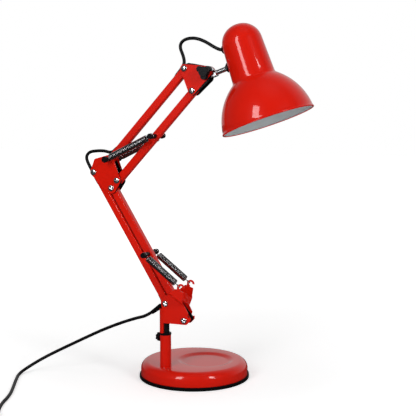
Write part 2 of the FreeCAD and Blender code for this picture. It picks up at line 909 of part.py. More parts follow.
def build_clamp():
    start = arm(*head_pivot, -plate_face - knob_length + 2.0)
    face = arm(*head_pivot, plate_face)
    end = arm(*head_pivot, plate_face + bolt_head_height)
    bolt = cylinder(start, end, clamp_bolt_radius)
    save("clamp_bolt", bolt.fuse(hex_prism(face, end, bolt_head_flats)).removeSplitter())
    bore = cylinder(start - vector(0, pivot_play, 0), face, clamp_bolt_radius + pivot_play)
    save("clamp_knob", clamp_knob().cut(bore))


# ---- head ---------------------------------------------------------------------------

def along_rod(distance, rise=0.0, y=0.0):
    return arm(*step(step(rod_start, tilt_way, distance), shade_up, rise), y)


def build_clevis():
    half = liner_face - clevis_play
    eye = across(head_pivot, -half, half, clevis_eye)
    tail_height = 2 * (rod_radius + clevis_tail_wall)
    tail = Part.makeBox(clevis_tail, 2 * half, tail_height, vector(0, -half, -tail_height / 2))
    tail.rotate(vector(0, 0, 0), vector(0, 1, 0), -head_tilt)
    tail.translate(along_rod(0))
    clevis = drilled(eye.fuse(tail), [head_pivot], clamp_bolt_radius + pivot_play)
    bore = cylinder(along_rod(rod_start_in_clevis - 0.5), along_rod(clevis_tail + 1),
                    rod_radius + pivot_play)
    save("head_clevis", clevis.cut(bore).removeSplitter())


def shade_point(height, radius, angle=0.0):
    """Place on the shade, from its axis: `radius` towards the head side at angle 0."""
    turn = math.radians(angle)
    out = radius * math.cos(turn)
    place = step(step(shade_foot, shade_up, height), tilt_way, out)
    return arm(*place, radius * math.sin(turn))


def shade_profile(inset):
    """Half section from rim to crown as (height, radius) curves, drawn in by `inset`."""
    rim = shade_point(0, rim_radius - inset)
    bell_centre = shade_point(bell_mid[0] - 0.5 * inset, bell_mid[1] - 0.85 * inset)
    foot = shade_point(neck_foot[0] - inset, neck_foot[1] - inset)
    shoulder = shade_point(neck_shoulder[0], neck_shoulder[1] - inset)
    dome = shade_point(dome_mid[0] - 0.7 * inset, dome_mid[1] - 0.7 * inset)
    top = shade_point(dome_top - inset, 0)
    return [
        Part.Arc(rim, bell_centre, foot).toShape(),
        Part.makeLine(foot, shoulder),
        Part.Arc(shoulder, dome, top).toShape(),
    ], rim, top


def shade_form(inset):
    curves, rim, top = shade_profile(inset)
    foot = shade_point(0, 0)
    edges = curves + [Part.makeLine(top, foot), Part.makeLine(foot, rim)]
    axis = shade_point(1, 0) - foot
    return Part.Face(Part.Wire(edges)).revolve(foot, axis, 360)


def shade_cylinder(low, high, radius):
    return cylinder(shade_point(low, 0), shade_point(high, 0), radius)


def build_shade():
    shell = shade_form(0).cut(shade_form(shade_wall))
    axis = shade_point(1, 0) - shade_point(0, 0)
    bead = Part.makeTorus(rim_radius - 0.3, rim_bead, shade_point(0, 0), axis)
    hole_for_rod = cylinder(shade_wall_place(-6), shade_wall_place(6), rod_radius)
    hole_for_gland = cylinder(gland_place(-6), gland_place(6), cord_radius + 1.4)
    shell = shell.fuse(bead)
    save("shade", shell.cut(hole_for_rod).cut(hole_for_gland).removeSplitter())


def shade_wall_place(out):
    """On the rod's axis, `out` from the neck's outer wall towards the bracket."""
    return along_rod(rod_reach - out)


def gland_place(out):
    return shade_point(gland_height, -neck_radius_at(gland_height) - out)


def build_rod():
    """Rod from the clevis through the neck's wall into the lamp holder, nutted to the wall."""
    to_holder = neck_radius_at(rod_height) - holder_radius + rod_in_holder
    rod = cylinder(along_rod(rod_start_in_clevis), along_rod(rod_reach + to_holder), rod_radius)
    save("head_rod", rod)

    neck_inside = neck_radius_at(rod_height) - shade_wall
    hollow = neck_inside - math.sqrt(neck_inside ** 2 - neck_washer_radius ** 2)
    outer_face = washer_gap
    inner_face = -shade_wall - hollow - washer_gap
    washers = []
    nuts = []
    for face, way in ((outer_face, 1), (inner_face, -1)):
        back = face + way * neck_washer_wall
        washers.append(cylinder(shade_wall_place(face), shade_wall_place(back), neck_washer_radius))
        nuts.append(hex_prism(shade_wall_place(back), shade_wall_place(back + way * neck_nut_height),
                              neck_nut_flats))
    save_group("neck_washers", [washer.cut(rod) for washer in washers])
    save_group("neck_nuts", [nut.cut(rod) for nut in nuts])


def gland_way():
    """The cord leaves the gland at an angle, upwards from square to the neck."""
    return heading(180 + head_tilt - gland_tilt)


def gland_outlet(out):
    wall = gland_place(0)
    way = gland_way()
    return wall + vector(way[0], 0, way[1]) * out


def build_gland():
    inner_depth = shade_wall + 2.4
    body = cylinder(gland_place(-inner_depth), gland_place(0.4), cord_radius + 1.4)
    dome_radius = (gland_radius ** 2 + gland_length ** 2) / (2 * gland_length)
    dome = Part.makeSphere(dome_radius, gland_place(gland_length - dome_radius + 0.3))
    dome = dome.common(cylinder(gland_place(0.3), gland_place(gland_length + 2), gland_radius))
    flange = cylinder(gland_place(-inner_depth), gland_place(-shade_wall - 0.8), gland_radius * 0.8)
    gland = body.fuse(dome).fuse(flange)
    bore = cylinder(gland_outlet(-inner_depth - 2), gland_outlet(gland_length + 3), cord_radius)
    save("cord_gland", gland.cut(bore).removeSplitter())


def build_lamp_holder():
    """E27 holder in the neck, carried on the end of the head rod, and its bulb."""
    top = holder_mouth + holder_length
    skirt_end = holder_mouth + holder_skirt
    cap_top = cap_seat() + cap_length
    holder = shade_cylinder(holder_mouth, top, holder_radius)
    holder = holder.cut(shade_cylinder(holder_mouth - 1, skirt_end, holder_radius - holder_wall))
    holder = holder.cut(shade_cylinder(skirt_end - 1, cap_top + cap_play, cap_radius + cap_play))
    holder = holder.cut(cylinder(
        along_rod(rod_reach),
        along_rod(rod_reach + neck_radius_at(rod_height) - holder_radius + rod_in_holder),
        rod_radius,
    ))
    save("lamp_holder", holder)

    glass = bulb_glass()
    save("bulb_glass", glass)
    cap = shade_cylinder(cap_seat(), cap_top, cap_radius).cut(glass)
    save("bulb_cap", cap)


def cap_seat():
    return holder_mouth + 3.0


def bulb_glass():
    """Pear-shaped bulb, its widest part hanging below the holder."""
    neck_top = cap_seat() + 4.0
    crown = cap_seat() + cap_length - bulb_length
    belly = crown + bulb_radius
    neck = cap_radius - 0.6
    foot = shade_point(crown, 0)
    bottom_mid = shade_point(belly - bulb_radius * math.sqrt(0.5), bulb_radius * math.sqrt(0.5))
    widest = shade_point(belly, bulb_radius)
    waist = shade_point(belly + 0.55 * (neck_top - belly), (bulb_radius + neck) / 2 + 0.6)
    joint = shade_point(neck_top, neck)
    shoulder = Part.BSplineCurve()
    shoulder.interpolate([widest, waist, joint])
    top = shade_point(neck_top, 0)
    edges = [
        Part.Arc(foot, bottom_mid, widest).toShape(),
        shoulder.toShape(),
        Part.makeLine(joint, top),
        Part.makeLine(top, foot),
    ]
    axis = shade_point(1, 0) - shade_point(0, 0)
    return Part.Face(Part.Wire(edges)).revolve(foot, axis, 360)


# ---- cords --------------------------------------------------------------------------

def relief_place(along):
    """On the strain relief's axis, in a notch at the top of the bracket's spine."""
    return step(step(rear_foot_pivot, relief_start_step), relief_way, along)


def relief_solid(grow=0.0):
    start = arm(*relief_place(0))
    return Part.makeCone(
        relief_radius + grow,
        cord_radius + 0.7 + grow,
        relief_length,
        start,
        arm(*relief_place(relief_length)) - start,
    )


def build_strain_relief():
    bore = cylinder(arm(*relief_place(-1)), arm(*relief_place(relief_length + 1)), cord_radius)
    save("strain_relief", relief_solid().cut(bore))


def save_cord(name, places):
    save(name, report_cord(name, round_cord([arm(*place) for place in places], cord_radius)))


def build_bar_leads():
    for name, place, way, length in (
        ("lead_in_lower_bar", rear_foot_pivot, lower_way, lower_length),
        ("lead_in_upper_bar", elbow_upper_rear, upper_way, upper_length),
    ):
        save_cord(name, bar_lead(place, way, length))


def build_foot_lead():
    """Out of the lower bar's foot and into the strain relief."""
    save_cord("foot_lead", [
        beside_bar(rear_foot_pivot, lower_way, lead_end, bar_width / 2),
        beside_bar(rear_foot_pivot, lower_way, lead_end - 5.0, bar_width / 2),
        beside_bar(rear_foot_pivot, lower_way, lead_end - 10.0, bar_width / 2 + 2.0),
        relief_place(-1.5),
        relief_place(relief_grip - cord_end_gap),
    ])


def build_elbow_lead():
    """The loop round the back of the elbow, in two halves that meet at its top."""
    meeting = step(elbow_pivot, (-5.1, 33.5))
    over_the_top = step(meeting, (-7.4, -0.96))
    rear_of_loop = step(meeting, (-13.9, -9.5))
    save_cord("elbow_lead_upper", [
        beside_bar(elbow_upper_rear, upper_way, lead_end, bar_width / 2),
        beside_bar(elbow_upper_rear, upper_way, lead_end - 7.0, bar_width / 2),
        step(elbow_pivot, (11.9, 35.7)),
        meeting,
    ])
    save_cord("elbow_lead_lower", [
        meeting,
        over_the_top,
        rear_of_loop,
        beside_bar(elbow_pivot, lower_way, 16.0, bar_width / 2),
        beside_bar(elbow_pivot, lower_way, -lead_end, bar_width / 2),
    ])


def build_head_lead():
    """The loop over the head bracket: from the bar, across the tilt, to the gland."""
    first_break = step(top_rear_pivot, (-8.2, 26.7))
    outlet = gland_outlet(gland_length + 0.5)
    outlet = (outlet.x - post_x, outlet.z)
    way = gland_way()
    after_gland = step(outlet, way, 5.6)
    last_way = heading(148.5)
    second_break = step(after_gland, last_way, 14.7)
    save_cord("head_lead_foot", [
        beside_bar(top_rear_pivot, upper_way, -lead_end, bar_width / 2),
        beside_bar(top_rear_pivot, upper_way, 0.5, bar_width / 2),
        step(top_rear_pivot, (-3.4, 16.0)),
        first_break,
    ])
    save_cord("head_lead_loop", [
        first_break,
        step(first_break, (-4.3, 9.6)),
        step(first_break, (6.6, 20.1)),
        step(second_break, last_way, 20.0),
        second_break,
    ])
    save_cord("head_lead_end", [
        second_break,
        after_gland,
        outlet,
    ])


def coil_place(angle, height):
    """On the middle of the coil's outer turn."""
    way = heading(angle)
    x = coil_centre[0] + coil_outer_turn * way[0]
    y = coil_centre[1] + coil_outer_turn * way[1]
    return (x, height, y)


def build_mains_lead():
    held = [relief_place(relief_grip), relief_place(relief_length + 10.0)]
    places = held + mains_route + [coil_place(coil_entry_angle, table_line)]
    made = round_cord([arm(*place) for place in places], cord_radius)
    save("mains_lead", report_cord("mains_lead", made).cut(coil_solid()))


def coil_solid():
    coil_width = (coil_turns_across - 1) * coil_pitch + 2 * cord_radius
    low = coil_radius - coil_width / 2
    section = Part.Face(Part.Wire(rounded_outline([
        (coil_centre[0] + low, 0, coil_corner),
        (coil_centre[0] + low + coil_width, 0, coil_corner),
        (coil_centre[0] + low + coil_width, coil_height, coil_corner),
        (coil_centre[0] + low, coil_height, coil_corner),
    ])))
    section.translate(vector(0, coil_centre[1], 0))
    return section.revolve(arm(coil_centre[0], 0, coil_centre[1]), vector(0, 0, 1), 360)


def build_coil_and_plug():
    """The coiled rest of the lead, and its flat two-pin plug lying against it."""
    coil = coil_solid()
    save("mains_coil", coil)

    axis_height = plug_height / 2
    start = arm(*coil_place(coil_exit_angle, axis_height)) - vector(coil_pitch * 2, 0, 0)
    back = start - vector(plug_grip, 0, 0)
    grip = Part.makeCone(grip_radius, grip_radius + 2.0, plug_grip, start, vector(-1, 0, 0))
    corner = back + vector(-plug_length, -plug_width / 2, -axis_height)
    body = Part.makeBox(plug_length, plug_width, plug_height, corner)
    uprights = [e for e in body.Edges if abs(e.BoundBox.ZLength - plug_height) < 0.1]
    body = body.makeFillet(plug_corner, uprights)
    bore = cylinder(start, back, cord_radius)
    plug = body.fuse(grip.cut(bore)).cut(coil)
    save("plug_body", plug.removeSplitter())
    pins = []
    for side in (-1, 1):
        root = back + vector(-plug_length, side * plug_pin_spacing / 2, 0)
        pins.append(cylinder(root, root - vector(plug_pin_length, 0, 0), plug_pin_radius))
    save_group("plug_pins", pins)


def main():
    os.makedirs("parts", exist_ok=True)
    build_base()
    build_post()
    build_thumbscrew()
    build_foot_bracket()
    build_bars()
    build_springs()
    build_elbow()
    build_top_bracket()
    build_clamp()
    build_clevis()
    build_rod()
    build_shade()
    build_gland()
    build_lamp_holder()
    build_strain_relief()
    build_bar_leads()
    build_foot_lead()
    build_elbow_lead()
    build_head_lead()
    build_mains_lead()
    build_coil_and_plug()


main()
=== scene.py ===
import json
import math
import bmesh
import bpy
from mathutils import Euler, Matrix, Vector
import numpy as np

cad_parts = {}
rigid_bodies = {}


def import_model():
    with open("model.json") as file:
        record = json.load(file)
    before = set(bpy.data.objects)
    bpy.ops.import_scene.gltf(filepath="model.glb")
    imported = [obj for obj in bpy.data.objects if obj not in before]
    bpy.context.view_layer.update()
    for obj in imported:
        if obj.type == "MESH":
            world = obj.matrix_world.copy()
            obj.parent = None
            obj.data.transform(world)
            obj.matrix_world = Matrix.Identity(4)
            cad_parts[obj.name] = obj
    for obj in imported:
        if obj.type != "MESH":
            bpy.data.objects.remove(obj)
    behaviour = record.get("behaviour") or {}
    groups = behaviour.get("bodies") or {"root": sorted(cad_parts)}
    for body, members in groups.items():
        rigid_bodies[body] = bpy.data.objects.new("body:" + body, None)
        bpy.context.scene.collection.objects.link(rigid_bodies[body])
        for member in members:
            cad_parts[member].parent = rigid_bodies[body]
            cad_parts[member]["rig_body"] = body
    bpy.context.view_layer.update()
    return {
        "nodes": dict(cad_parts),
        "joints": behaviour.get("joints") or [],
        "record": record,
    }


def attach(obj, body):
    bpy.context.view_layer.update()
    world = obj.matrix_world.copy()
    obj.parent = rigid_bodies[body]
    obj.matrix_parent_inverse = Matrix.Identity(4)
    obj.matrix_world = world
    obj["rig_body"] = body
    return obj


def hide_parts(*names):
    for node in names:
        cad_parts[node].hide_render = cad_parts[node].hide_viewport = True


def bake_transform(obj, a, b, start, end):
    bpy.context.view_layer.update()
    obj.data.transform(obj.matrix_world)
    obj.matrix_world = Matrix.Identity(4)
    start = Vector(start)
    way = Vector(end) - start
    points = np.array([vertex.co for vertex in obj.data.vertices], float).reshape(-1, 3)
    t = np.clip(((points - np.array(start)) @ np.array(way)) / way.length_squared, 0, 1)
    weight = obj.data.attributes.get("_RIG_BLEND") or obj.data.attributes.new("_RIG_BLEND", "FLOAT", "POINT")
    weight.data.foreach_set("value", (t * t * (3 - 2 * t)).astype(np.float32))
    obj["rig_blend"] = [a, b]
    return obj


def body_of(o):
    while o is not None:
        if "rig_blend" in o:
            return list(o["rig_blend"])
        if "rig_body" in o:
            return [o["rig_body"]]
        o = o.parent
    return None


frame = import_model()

# Red desk lamp: round weighted base, swivelling foot, two sprung arms and a tilting spun shade.
# Places come from the frame's joints; small moves from them are in millimetres as (x, z, y).

nodes = frame["nodes"]
jointTable = {joint["name"]: joint for joint in frame["joints"]}
slotOf = {part["node"]: part["material_slot"] for part in frame["record"]["subparts"]}
replacedNodes = set()


def pivot(name):
    return Vector(jointTable[name]["pos_m"])


def move(place, x, z, y=0.0):
    return place + Vector((x, y, z)) / 1000


swivelFoot = Vector((pivot("swivel").x, pivot("swivel").y, 0))
rearFoot = pivot("lower_arm")
frontFoot = pivot("lower_front_arm")
elbow = pivot("elbow_level")
elbowRear = pivot("upper_arm")
elbowFront = pivot("upper_front_arm")
topRear = pivot("head_level")
headPivot = pivot("head_tilt")
lowerWay = (elbow - rearFoot).normalized()
upperWay = (topRear - elbowRear).normalized()
rodWay = Vector(jointTable["shade_turn"]["axis"]).normalized()
shadeUp = Vector((-rodWay.z, 0, rodWay.x))


def tableRoute(x, z, y):  # from the foot of the post
    return move(swivelFoot, x, z, y)


def besideBar(place, way, along, offset):  # out from a bar's centre line, on its upper left
    outward = Vector((-way.z, 0, way.x))
    return place + way * (along / 1000) + outward * (offset / 1000)


cameraPlace = dict(location=(0.5809, -1.3858, 0.4342), tip=-0.10175, turn=0.3818, lens=79.88, sensor=36)


def makeCamera():
    data = bpy.data.cameras.new("camera")
    data.lens = cameraPlace["lens"]
    data.sensor_width = cameraPlace["sensor"]
    camera = bpy.data.objects.new("camera", data)
    camera.location = cameraPlace["location"]
    camera.rotation_euler = Euler((math.pi / 2 + cameraPlace["tip"], 0, cameraPlace["turn"]))
    bpy.context.scene.collection.objects.link(camera)
    bpy.context.scene.camera = camera


makeCamera()
print("camera set")

def surfaceGroup():  # shared mottling, grain and uneven gloss, in object coordinates
    group = bpy.data.node_groups.new("surfaceDetail", "ShaderNodeTree")
    face = group.interface
    for label, kind, value in (
        ("colour", "NodeSocketColor", (0.8, 0.8, 0.8, 1)),
        ("shadeColour", "NodeSocketColor", (0.5, 0.5, 0.5, 1)),
        ("mottleScale", "NodeSocketFloat", 20.0),
        ("grainScale", "NodeSocketFloat", 600.0),
        ("roughness", "NodeSocketFloat", 0.4),
        ("roughSpread", "NodeSocketFloat", 0.1),
        ("grainShare", "NodeSocketFloat", 0.8),
    ):
        socket = face.new_socket(label, in_out="INPUT", socket_type=kind)
        socket.default_value = value
    face.new_socket("colour", in_out="OUTPUT", socket_type="NodeSocketColor")
    face.new_socket("roughness", in_out="OUTPUT", socket_type="NodeSocketFloat")
    face.new_socket("height", in_out="OUTPUT", socket_type="NodeSocketFloat")
    add = group.nodes.new
    link = group.links.new
    given = add("NodeGroupInput")
    result = add("NodeGroupOutput")
    place = add("ShaderNodeTexCoord")
    mottle = add("ShaderNodeTexNoise")
    mottle.inputs["Detail"].default_value = 4
    grain = add("ShaderNodeTexNoise")
    grain.inputs["Detail"].default_value = 3
    speck = add("ShaderNodeTexVoronoi")
    blendColour = add("ShaderNodeMix")
    blendColour.data_type = "RGBA"
    spread = add("ShaderNodeMath")
    spread.operation = "MULTIPLY_ADD"
    centred = add("ShaderNodeMath")
    centred.operation = "SUBTRACT"
    centred.inputs[1].default_value = 0.5
    mixHeight = add("ShaderNodeMix")
    mixHeight.data_type = "FLOAT"
    link(place.outputs["Object"], mottle.inputs["Vector"])
    link(place.outputs["Object"], grain.inputs["Vector"])
    link(place.outputs["Object"], speck.inputs["Vector"])
    link(given.outputs["mottleScale"], mottle.inputs["Scale"])
    link(given.outputs["grainScale"], grain.inputs["Scale"])
    link(given.outputs["grainScale"], speck.inputs["Scale"])
    link(mottle.outputs["Fac"], blendColour.inputs["Factor"])
    link(given.outputs["shadeColour"], blendColour.inputs["A"])
    link(given.outputs["colour"], blendColour.inputs["B"])
    link(mottle.outputs["Fac"], centred.inputs[0])
    link(centred.outputs[0], spread.inputs[0])
    link(given.outputs["roughSpread"], spread.inputs[1])
    link(given.outputs["roughness"], spread.inputs[2])
    link(given.outputs["grainShare"], mixHeight.inputs["Factor"])
    link(speck.outputs["Distance"], mixHeight.inputs["A"])
    link(grain.outputs["Fac"], mixHeight.inputs["B"])
    link(blendColour.outputs["Result"], result.inputs["colour"])
    link(spread.outputs[0], result.inputs["roughness"])
    link(mixHeight.outputs["Result"], result.inputs["height"])
    return group


surfaceDetail = surfaceGroup()


def finish(name, colour, shadeColour, roughness, spread, mottle, grain, bump, bumpDepth,
           share=0.8, **shader):
    material = bpy.data.materials.new(name)
    material.use_nodes = True
    tree = material.node_tree
    surface = tree.nodes["Principled BSDF"]
    detail = tree.nodes.new("ShaderNodeGroup")
    detail.node_tree = surfaceDetail
    for label, value in (
        ("colour", (*colour, 1)), ("shadeColour", (*shadeColour, 1)), ("mottleScale", mottle),
        ("grainScale", grain), ("roughness", roughness), ("roughSpread", spread), ("grainShare", share),
    ):
        detail.inputs[label].default_value = value
    relief = tree.nodes.new("ShaderNodeBump")
    relief.inputs["Strength"].default_value = bump
    relief.inputs["Distance"].default_value = bumpDepth
    tree.links.new(detail.outputs["colour"], surface.inputs["Base Color"])
    tree.links.new(detail.outputs["roughness"], surface.inputs["Roughness"])
    tree.links.new(detail.outputs["height"], relief.inputs["Height"])
    tree.links.new(relief.outputs["Normal"], surface.inputs["Normal"])
    for label, value in shader.items():
        surface.inputs[label.replace("_", " ")].default_value = value
    return material


glossRed = finish("glossRed", (0.80, 0.011, 0.001), (0.72, 0.007, 0.001), 0.32, 0.06, 14, 420, 0.05, 0.0002,
                  Coat_Weight=0.8, Coat_Roughness=0.03, Coat_IOR=1.5, Specular_IOR_Level=0.08)
insidePaint = finish("insidePaint", (0.70, 0.73, 0.74), (0.62, 0.66, 0.68), 0.5, 0.12, 30, 900, 0.12, 0.0002)
blackPlastic = finish("blackPlastic", (0.006, 0.006, 0.008), (0.003, 0.003, 0.004), 0.34, 0.12, 60, 1500,
                      0.18, 0.0002, share=0.5, Specular_IOR_Level=0.12)
blackRubber = finish("blackRubber", (0.005, 0.005, 0.006), (0.003, 0.003, 0.003), 0.55, 0.15, 40, 1100,
                     0.25, 0.0003, share=0.6, Specular_IOR_Level=0.04)
cordSkin = finish("cordSkin", (0.006, 0.006, 0.007), (0.003, 0.003, 0.004), 0.38, 0.12, 50, 1800,
                  0.12, 0.0002, Specular_IOR_Level=0.15)
chrome = finish("chrome", (0.82, 0.83, 0.85), (0.66, 0.67, 0.70), 0.14, 0.10, 90, 1300, 0.05, 0.0001,
                Metallic=1.0)
springSteel = finish("springSteel", (0.46, 0.46, 0.47), (0.22, 0.22, 0.23), 0.2, 0.12, 160, 1500,
                     0.05, 0.0001, Metallic=1.0)
blackSteel = finish("blackSteel", (0.02, 0.02, 0.022), (0.01, 0.01, 0.011), 0.35, 0.1, 70, 1400, 0.1, 0.0002,
                    Metallic=0.6)
castIron = finish("castIron", (0.07, 0.068, 0.065), (0.035, 0.033, 0.031), 0.75, 0.2, 35, 350, 0.7, 0.001,
                  share=0.4, Metallic=0.5)
opalGlass = finish("opalGlass", (0.90, 0.90, 0.88), (0.86, 0.86, 0.84), 0.18, 0.05, 25, 700, 0.03, 0.0001,
                   Coat_Weight=0.6, Coat_Roughness=0.05)
nickel = finish("nickel", (0.70, 0.68, 0.62), (0.52, 0.50, 0.45), 0.25, 0.15, 90, 1200, 0.08, 0.0001,
                Metallic=1.0)
finishFor = {  # from the record's material slots
    "red_paint": glossRed, "cast_iron": castIron, "rubber": blackRubber, "black_steel": blackSteel,
    "black_plastic": blackPlastic, "chrome": chrome, "spring_steel": springSteel,
    "cord_black": cordSkin, "bulb_glass": opalGlass, "bulb_cap": nickel, "plug_pins": nickel,
}
print("finishes made")

def link(obj):
    bpy.context.scene.collection.objects.link(obj)
    return obj


def plainMesh(obj):  # the evaluated object as a plain mesh
    bpy.context.view_layer.update()
    depsgraph = bpy.context.evaluated_depsgraph_get()
    return bpy.data.meshes.new_from_object(obj.evaluated_get(depsgraph), depsgraph=depsgraph)


def settle(obj, node=None, body=None):  # stands for a node, or rides by name
    if node:
        for name in node if isinstance(node, (list, tuple)) else [node]:
            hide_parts(name)
            replacedNodes.add(name)
    if body:
        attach(obj, body)
    return obj


def bodyOf(name):
    return body_of(nodes[name])[0]


def smooth(mesh, angle=35):
    mesh.polygons.foreach_set("use_smooth", [True] * len(mesh.polygons))
    mesh.set_sharp_from_angle(angle=math.radians(angle))


def meshObject(name, bm, materials, angle=35):
    bmesh.ops.recalc_face_normals(bm, faces=bm.faces)
    mesh = bpy.data.meshes.new(name)
    bm.to_mesh(mesh)
    bm.free()
    smooth(mesh, angle)
    for material in materials:
        mesh.materials.append(material)
    return link(bpy.data.objects.new(name, mesh))


def ringVertices(bm, centre, axis, radius, segments):
    if radius < 1e-7:
        return [bm.verts.new(centre)]
    side = axis.orthogonal().normalized()
    across = axis.cross(side)
    ring = []
    for i in range(segments):
        turn = 2 * math.pi * i / segments
        ring.append(bm.verts.new(centre + (side * math.cos(turn) + across * math.sin(turn)) * radius))
    return ring


def joinRings(bm, first, second, materialIndex=0):
    count = max(len(first), len(second))
    if count == 1:
        return
    for i in range(count):
        corners = []
        for vert in (first[i % len(first)], first[(i + 1) % len(first)],
                     second[(i + 1) % len(second)], second[i % len(second)]):
            if vert not in corners:
                corners.append(vert)
        bm.faces.new(corners).material_index = materialIndex


def lathe(bm, foot, axis, profile, segments=64, closed=False, indices=None):
    rings = [ringVertices(bm, foot + axis * along, axis, radius, segments) for along, radius in profile]
    pairs = list(zip(rings, rings[1:])) + ([(rings[-1], rings[0])] if closed else [])
    for i, (first, second) in enumerate(pairs):
        joinRings(bm, first, second, indices[i] if indices else 0)


def arcThrough(a, b, c, count):  # points on the circle through three places
    ax, ay, bx, by, cx, cy = *a, *b, *c
    d = 2 * (ax * (by - cy) + bx * (cy - ay) + cx * (ay - by))
    ux = ((ax**2 + ay**2) * (by - cy) + (bx**2 + by**2) * (cy - ay) + (cx**2 + cy**2) * (ay - by)) / d
    uy = ((ax**2 + ay**2) * (cx - bx) + (bx**2 + by**2) * (ax - cx) + (cx**2 + cy**2) * (bx - ax)) / d
    radius = math.hypot(ax - ux, ay - uy)
    start = math.atan2(ay - uy, ax - ux)
    middle = (math.atan2(by - uy, bx - ux) - start) % (2 * math.pi)
    end = (math.atan2(cy - uy, cx - ux) - start) % (2 * math.pi)
    sweep = end if middle < end else end - 2 * math.pi
    return [(ux + radius * math.cos(start + sweep * i / count),
             uy + radius * math.sin(start + sweep * i / count)) for i in range(count + 1)]


def softCorner(before, corner, after, count=5):
    points = []
    for i in range(count + 1):
        t = i / count
        points.append(tuple((1 - t) ** 2 * b + 2 * t * (1 - t) * c + t**2 * a
                            for b, c, a in zip(before, corner, after)))
    return points


easing = dict(merge=2e-6, flat=0.8, sharp=38)  # metres, then degrees


def dress(node, bevelWidth, bevelSegments):  # the frame's own shape with eased edges
    bm = bmesh.new()
    bm.from_mesh(nodes[node].data)
    bmesh.ops.remove_doubles(bm, verts=bm.verts, dist=easing["merge"])
    bmesh.ops.dissolve_limit(bm, angle_limit=math.radians(easing["flat"]), verts=bm.verts, edges=bm.edges)
    mesh = bpy.data.meshes.new(node + ".eased")
    bm.to_mesh(mesh)
    bm.free()
    rough = link(bpy.data.objects.new(node + ".rough", mesh))
    ease = rough.modifiers.new("ease", "BEVEL")
    ease.width = bevelWidth / 1000
    ease.segments = bevelSegments
    ease.limit_method = "ANGLE"
    ease.angle_limit = math.radians(easing["sharp"])
    ease.harden_normals = True
    smooth(mesh, easing["sharp"])
    made = plainMesh(rough)
    bpy.data.objects.remove(rough)
    made.materials.clear()
    made.materials.append(finishFor[slotOf[node]])
    piece = link(bpy.data.objects.new(node + ".made", made))
    return settle(piece, node, bodyOf(node))


cordSize = dict(radius=0.0026, barOffset=6.0, leadEnd=14.0, sides=4)


def cordCurve(name, points, radius, resolution=10):
    curve = bpy.data.curves.new(name, "CURVE")
    curve.dimensions = "3D"
    curve.bevel_depth = radius
    curve.bevel_resolution = cordSize["sides"]
    curve.resolution_u = resolution
    curve.use_fill_caps = True
    spline = curve.splines.new("NURBS")
    spline.points.add(len(points) - 1)
    for point, place in zip(spline.points, points):
        point.co = (*place, 1)
    spline.order_u = 3
    spline.use_endpoint_u = True
    curve.materials.append(cordSkin)
    return link(bpy.data.objects.new(name, curve))


def wireMesh(name, points, radius, material, resolution=8):  # a swept wire or lead as a plain mesh
    curveObject = cordCurve(name + ".line", points, radius, resolution)
    mesh = plainMesh(curveObject)
    bpy.data.objects.remove(curveObject)
    mesh.materials.clear()
    mesh.materials.append(material)
    smooth(mesh, 50)
    return link(bpy.data.objects.new(name, mesh))


reliefStart = move(rearFoot, -11.9, -6.05)
reliefWay = Vector((-0.8, 0, -0.6))


def reliefPlace(along):
    return reliefStart + reliefWay * (along / 1000)


mainsLead = dict(
    tableLine=2.6,
    grip=2.7,
    reliefLength=20.0,
    route=[
        (-52.0, 103.0, 0), (-82.0, 92.0, 0), (-117.0, 76.8, 0), (-155.0, 57.6, -1.0),
        (-193.0, 38.2, -4.0), (-222.0, 22.6, -12.0), (-241.0, 9.6, -27.5), (-246.5, 2.6, -50.0),
        (-232.0, 2.6, -80.0), (-212.0, 2.6, -118.0), (-192.0, 2.6, -158.0), (-178.5, 2.6, -203.0),
    ],
    coilCentre=(-186.0, -270.0),
    outerTurn=39.6,
    pitch=5.6,
    turns=3,
    climb=0.346,
    entryAngle=34.5,
    pointsPerTurn=24,
    heldPast=10.0,
    gripEntry=11.2,
    insidePlug=14.0,
    plugAxisHeight=6.5,
    length=1.75,
)


def coilPoints():  # one layer inwards, a climb, and one layer back out on top of it
    coil = mainsLead
    inner = coil["outerTurn"] - coil["pitch"] * coil["turns"]
    topLine = coil["tableLine"] + coil["pitch"]
    total = 2 * coil["turns"] + coil["climb"]
    steps = round(total * coil["pointsPerTurn"])
    points = []
    for i in range(steps + 1):
        turn = total * i / steps
        angle = math.radians(coil["entryAngle"] - 360 * turn)
        climbed = min(max((turn - coil["turns"]) / coil["climb"], 0), 1)
        inwards = min(turn, coil["turns"])
        outwards = max(turn - coil["turns"] - coil["climb"], 0)
        radius = coil["outerTurn"] - coil["pitch"] * inwards + coil["pitch"] * outwards
        height = coil["tableLine"] + climbed * (topLine - coil["tableLine"])
        points.append(tableRoute(
            coil["coilCentre"][0] + max(radius, inner) * math.cos(angle),
            height,
            coil["coilCentre"][1] + max(radius, inner) * math.sin(angle),
        ))
    return points


def plugAxis(along):  # from the foot of the coil, towards the plug
    x, y = mainsLead["coilCentre"]
    return tableRoute(x - along, mainsLead["plugAxisHeight"], y - mainsLead["outerTurn"])


def makeMainsLead():
    size = mainsLead
    points = [reliefPlace(size["grip"]), reliefPlace(size["reliefLength"] + size["heldPast"])]
    points += [tableRoute(*place) for place in size["route"]]
    points += coilPoints()
    points += [plugAxis(size["gripEntry"]), plugAxis(size["gripEntry"] + size["insidePlug"])]
    lead = cordCurve("mainsCord", points, cordSize["radius"], 6)
    return settle(lead, ["mains_lead", "mains_coil"], "swivel")


mainsCord = makeMainsLead()

coilTie = dict(angle=200.0, width=4.0, thick=0.7, clear=0.5, corner=2.6)


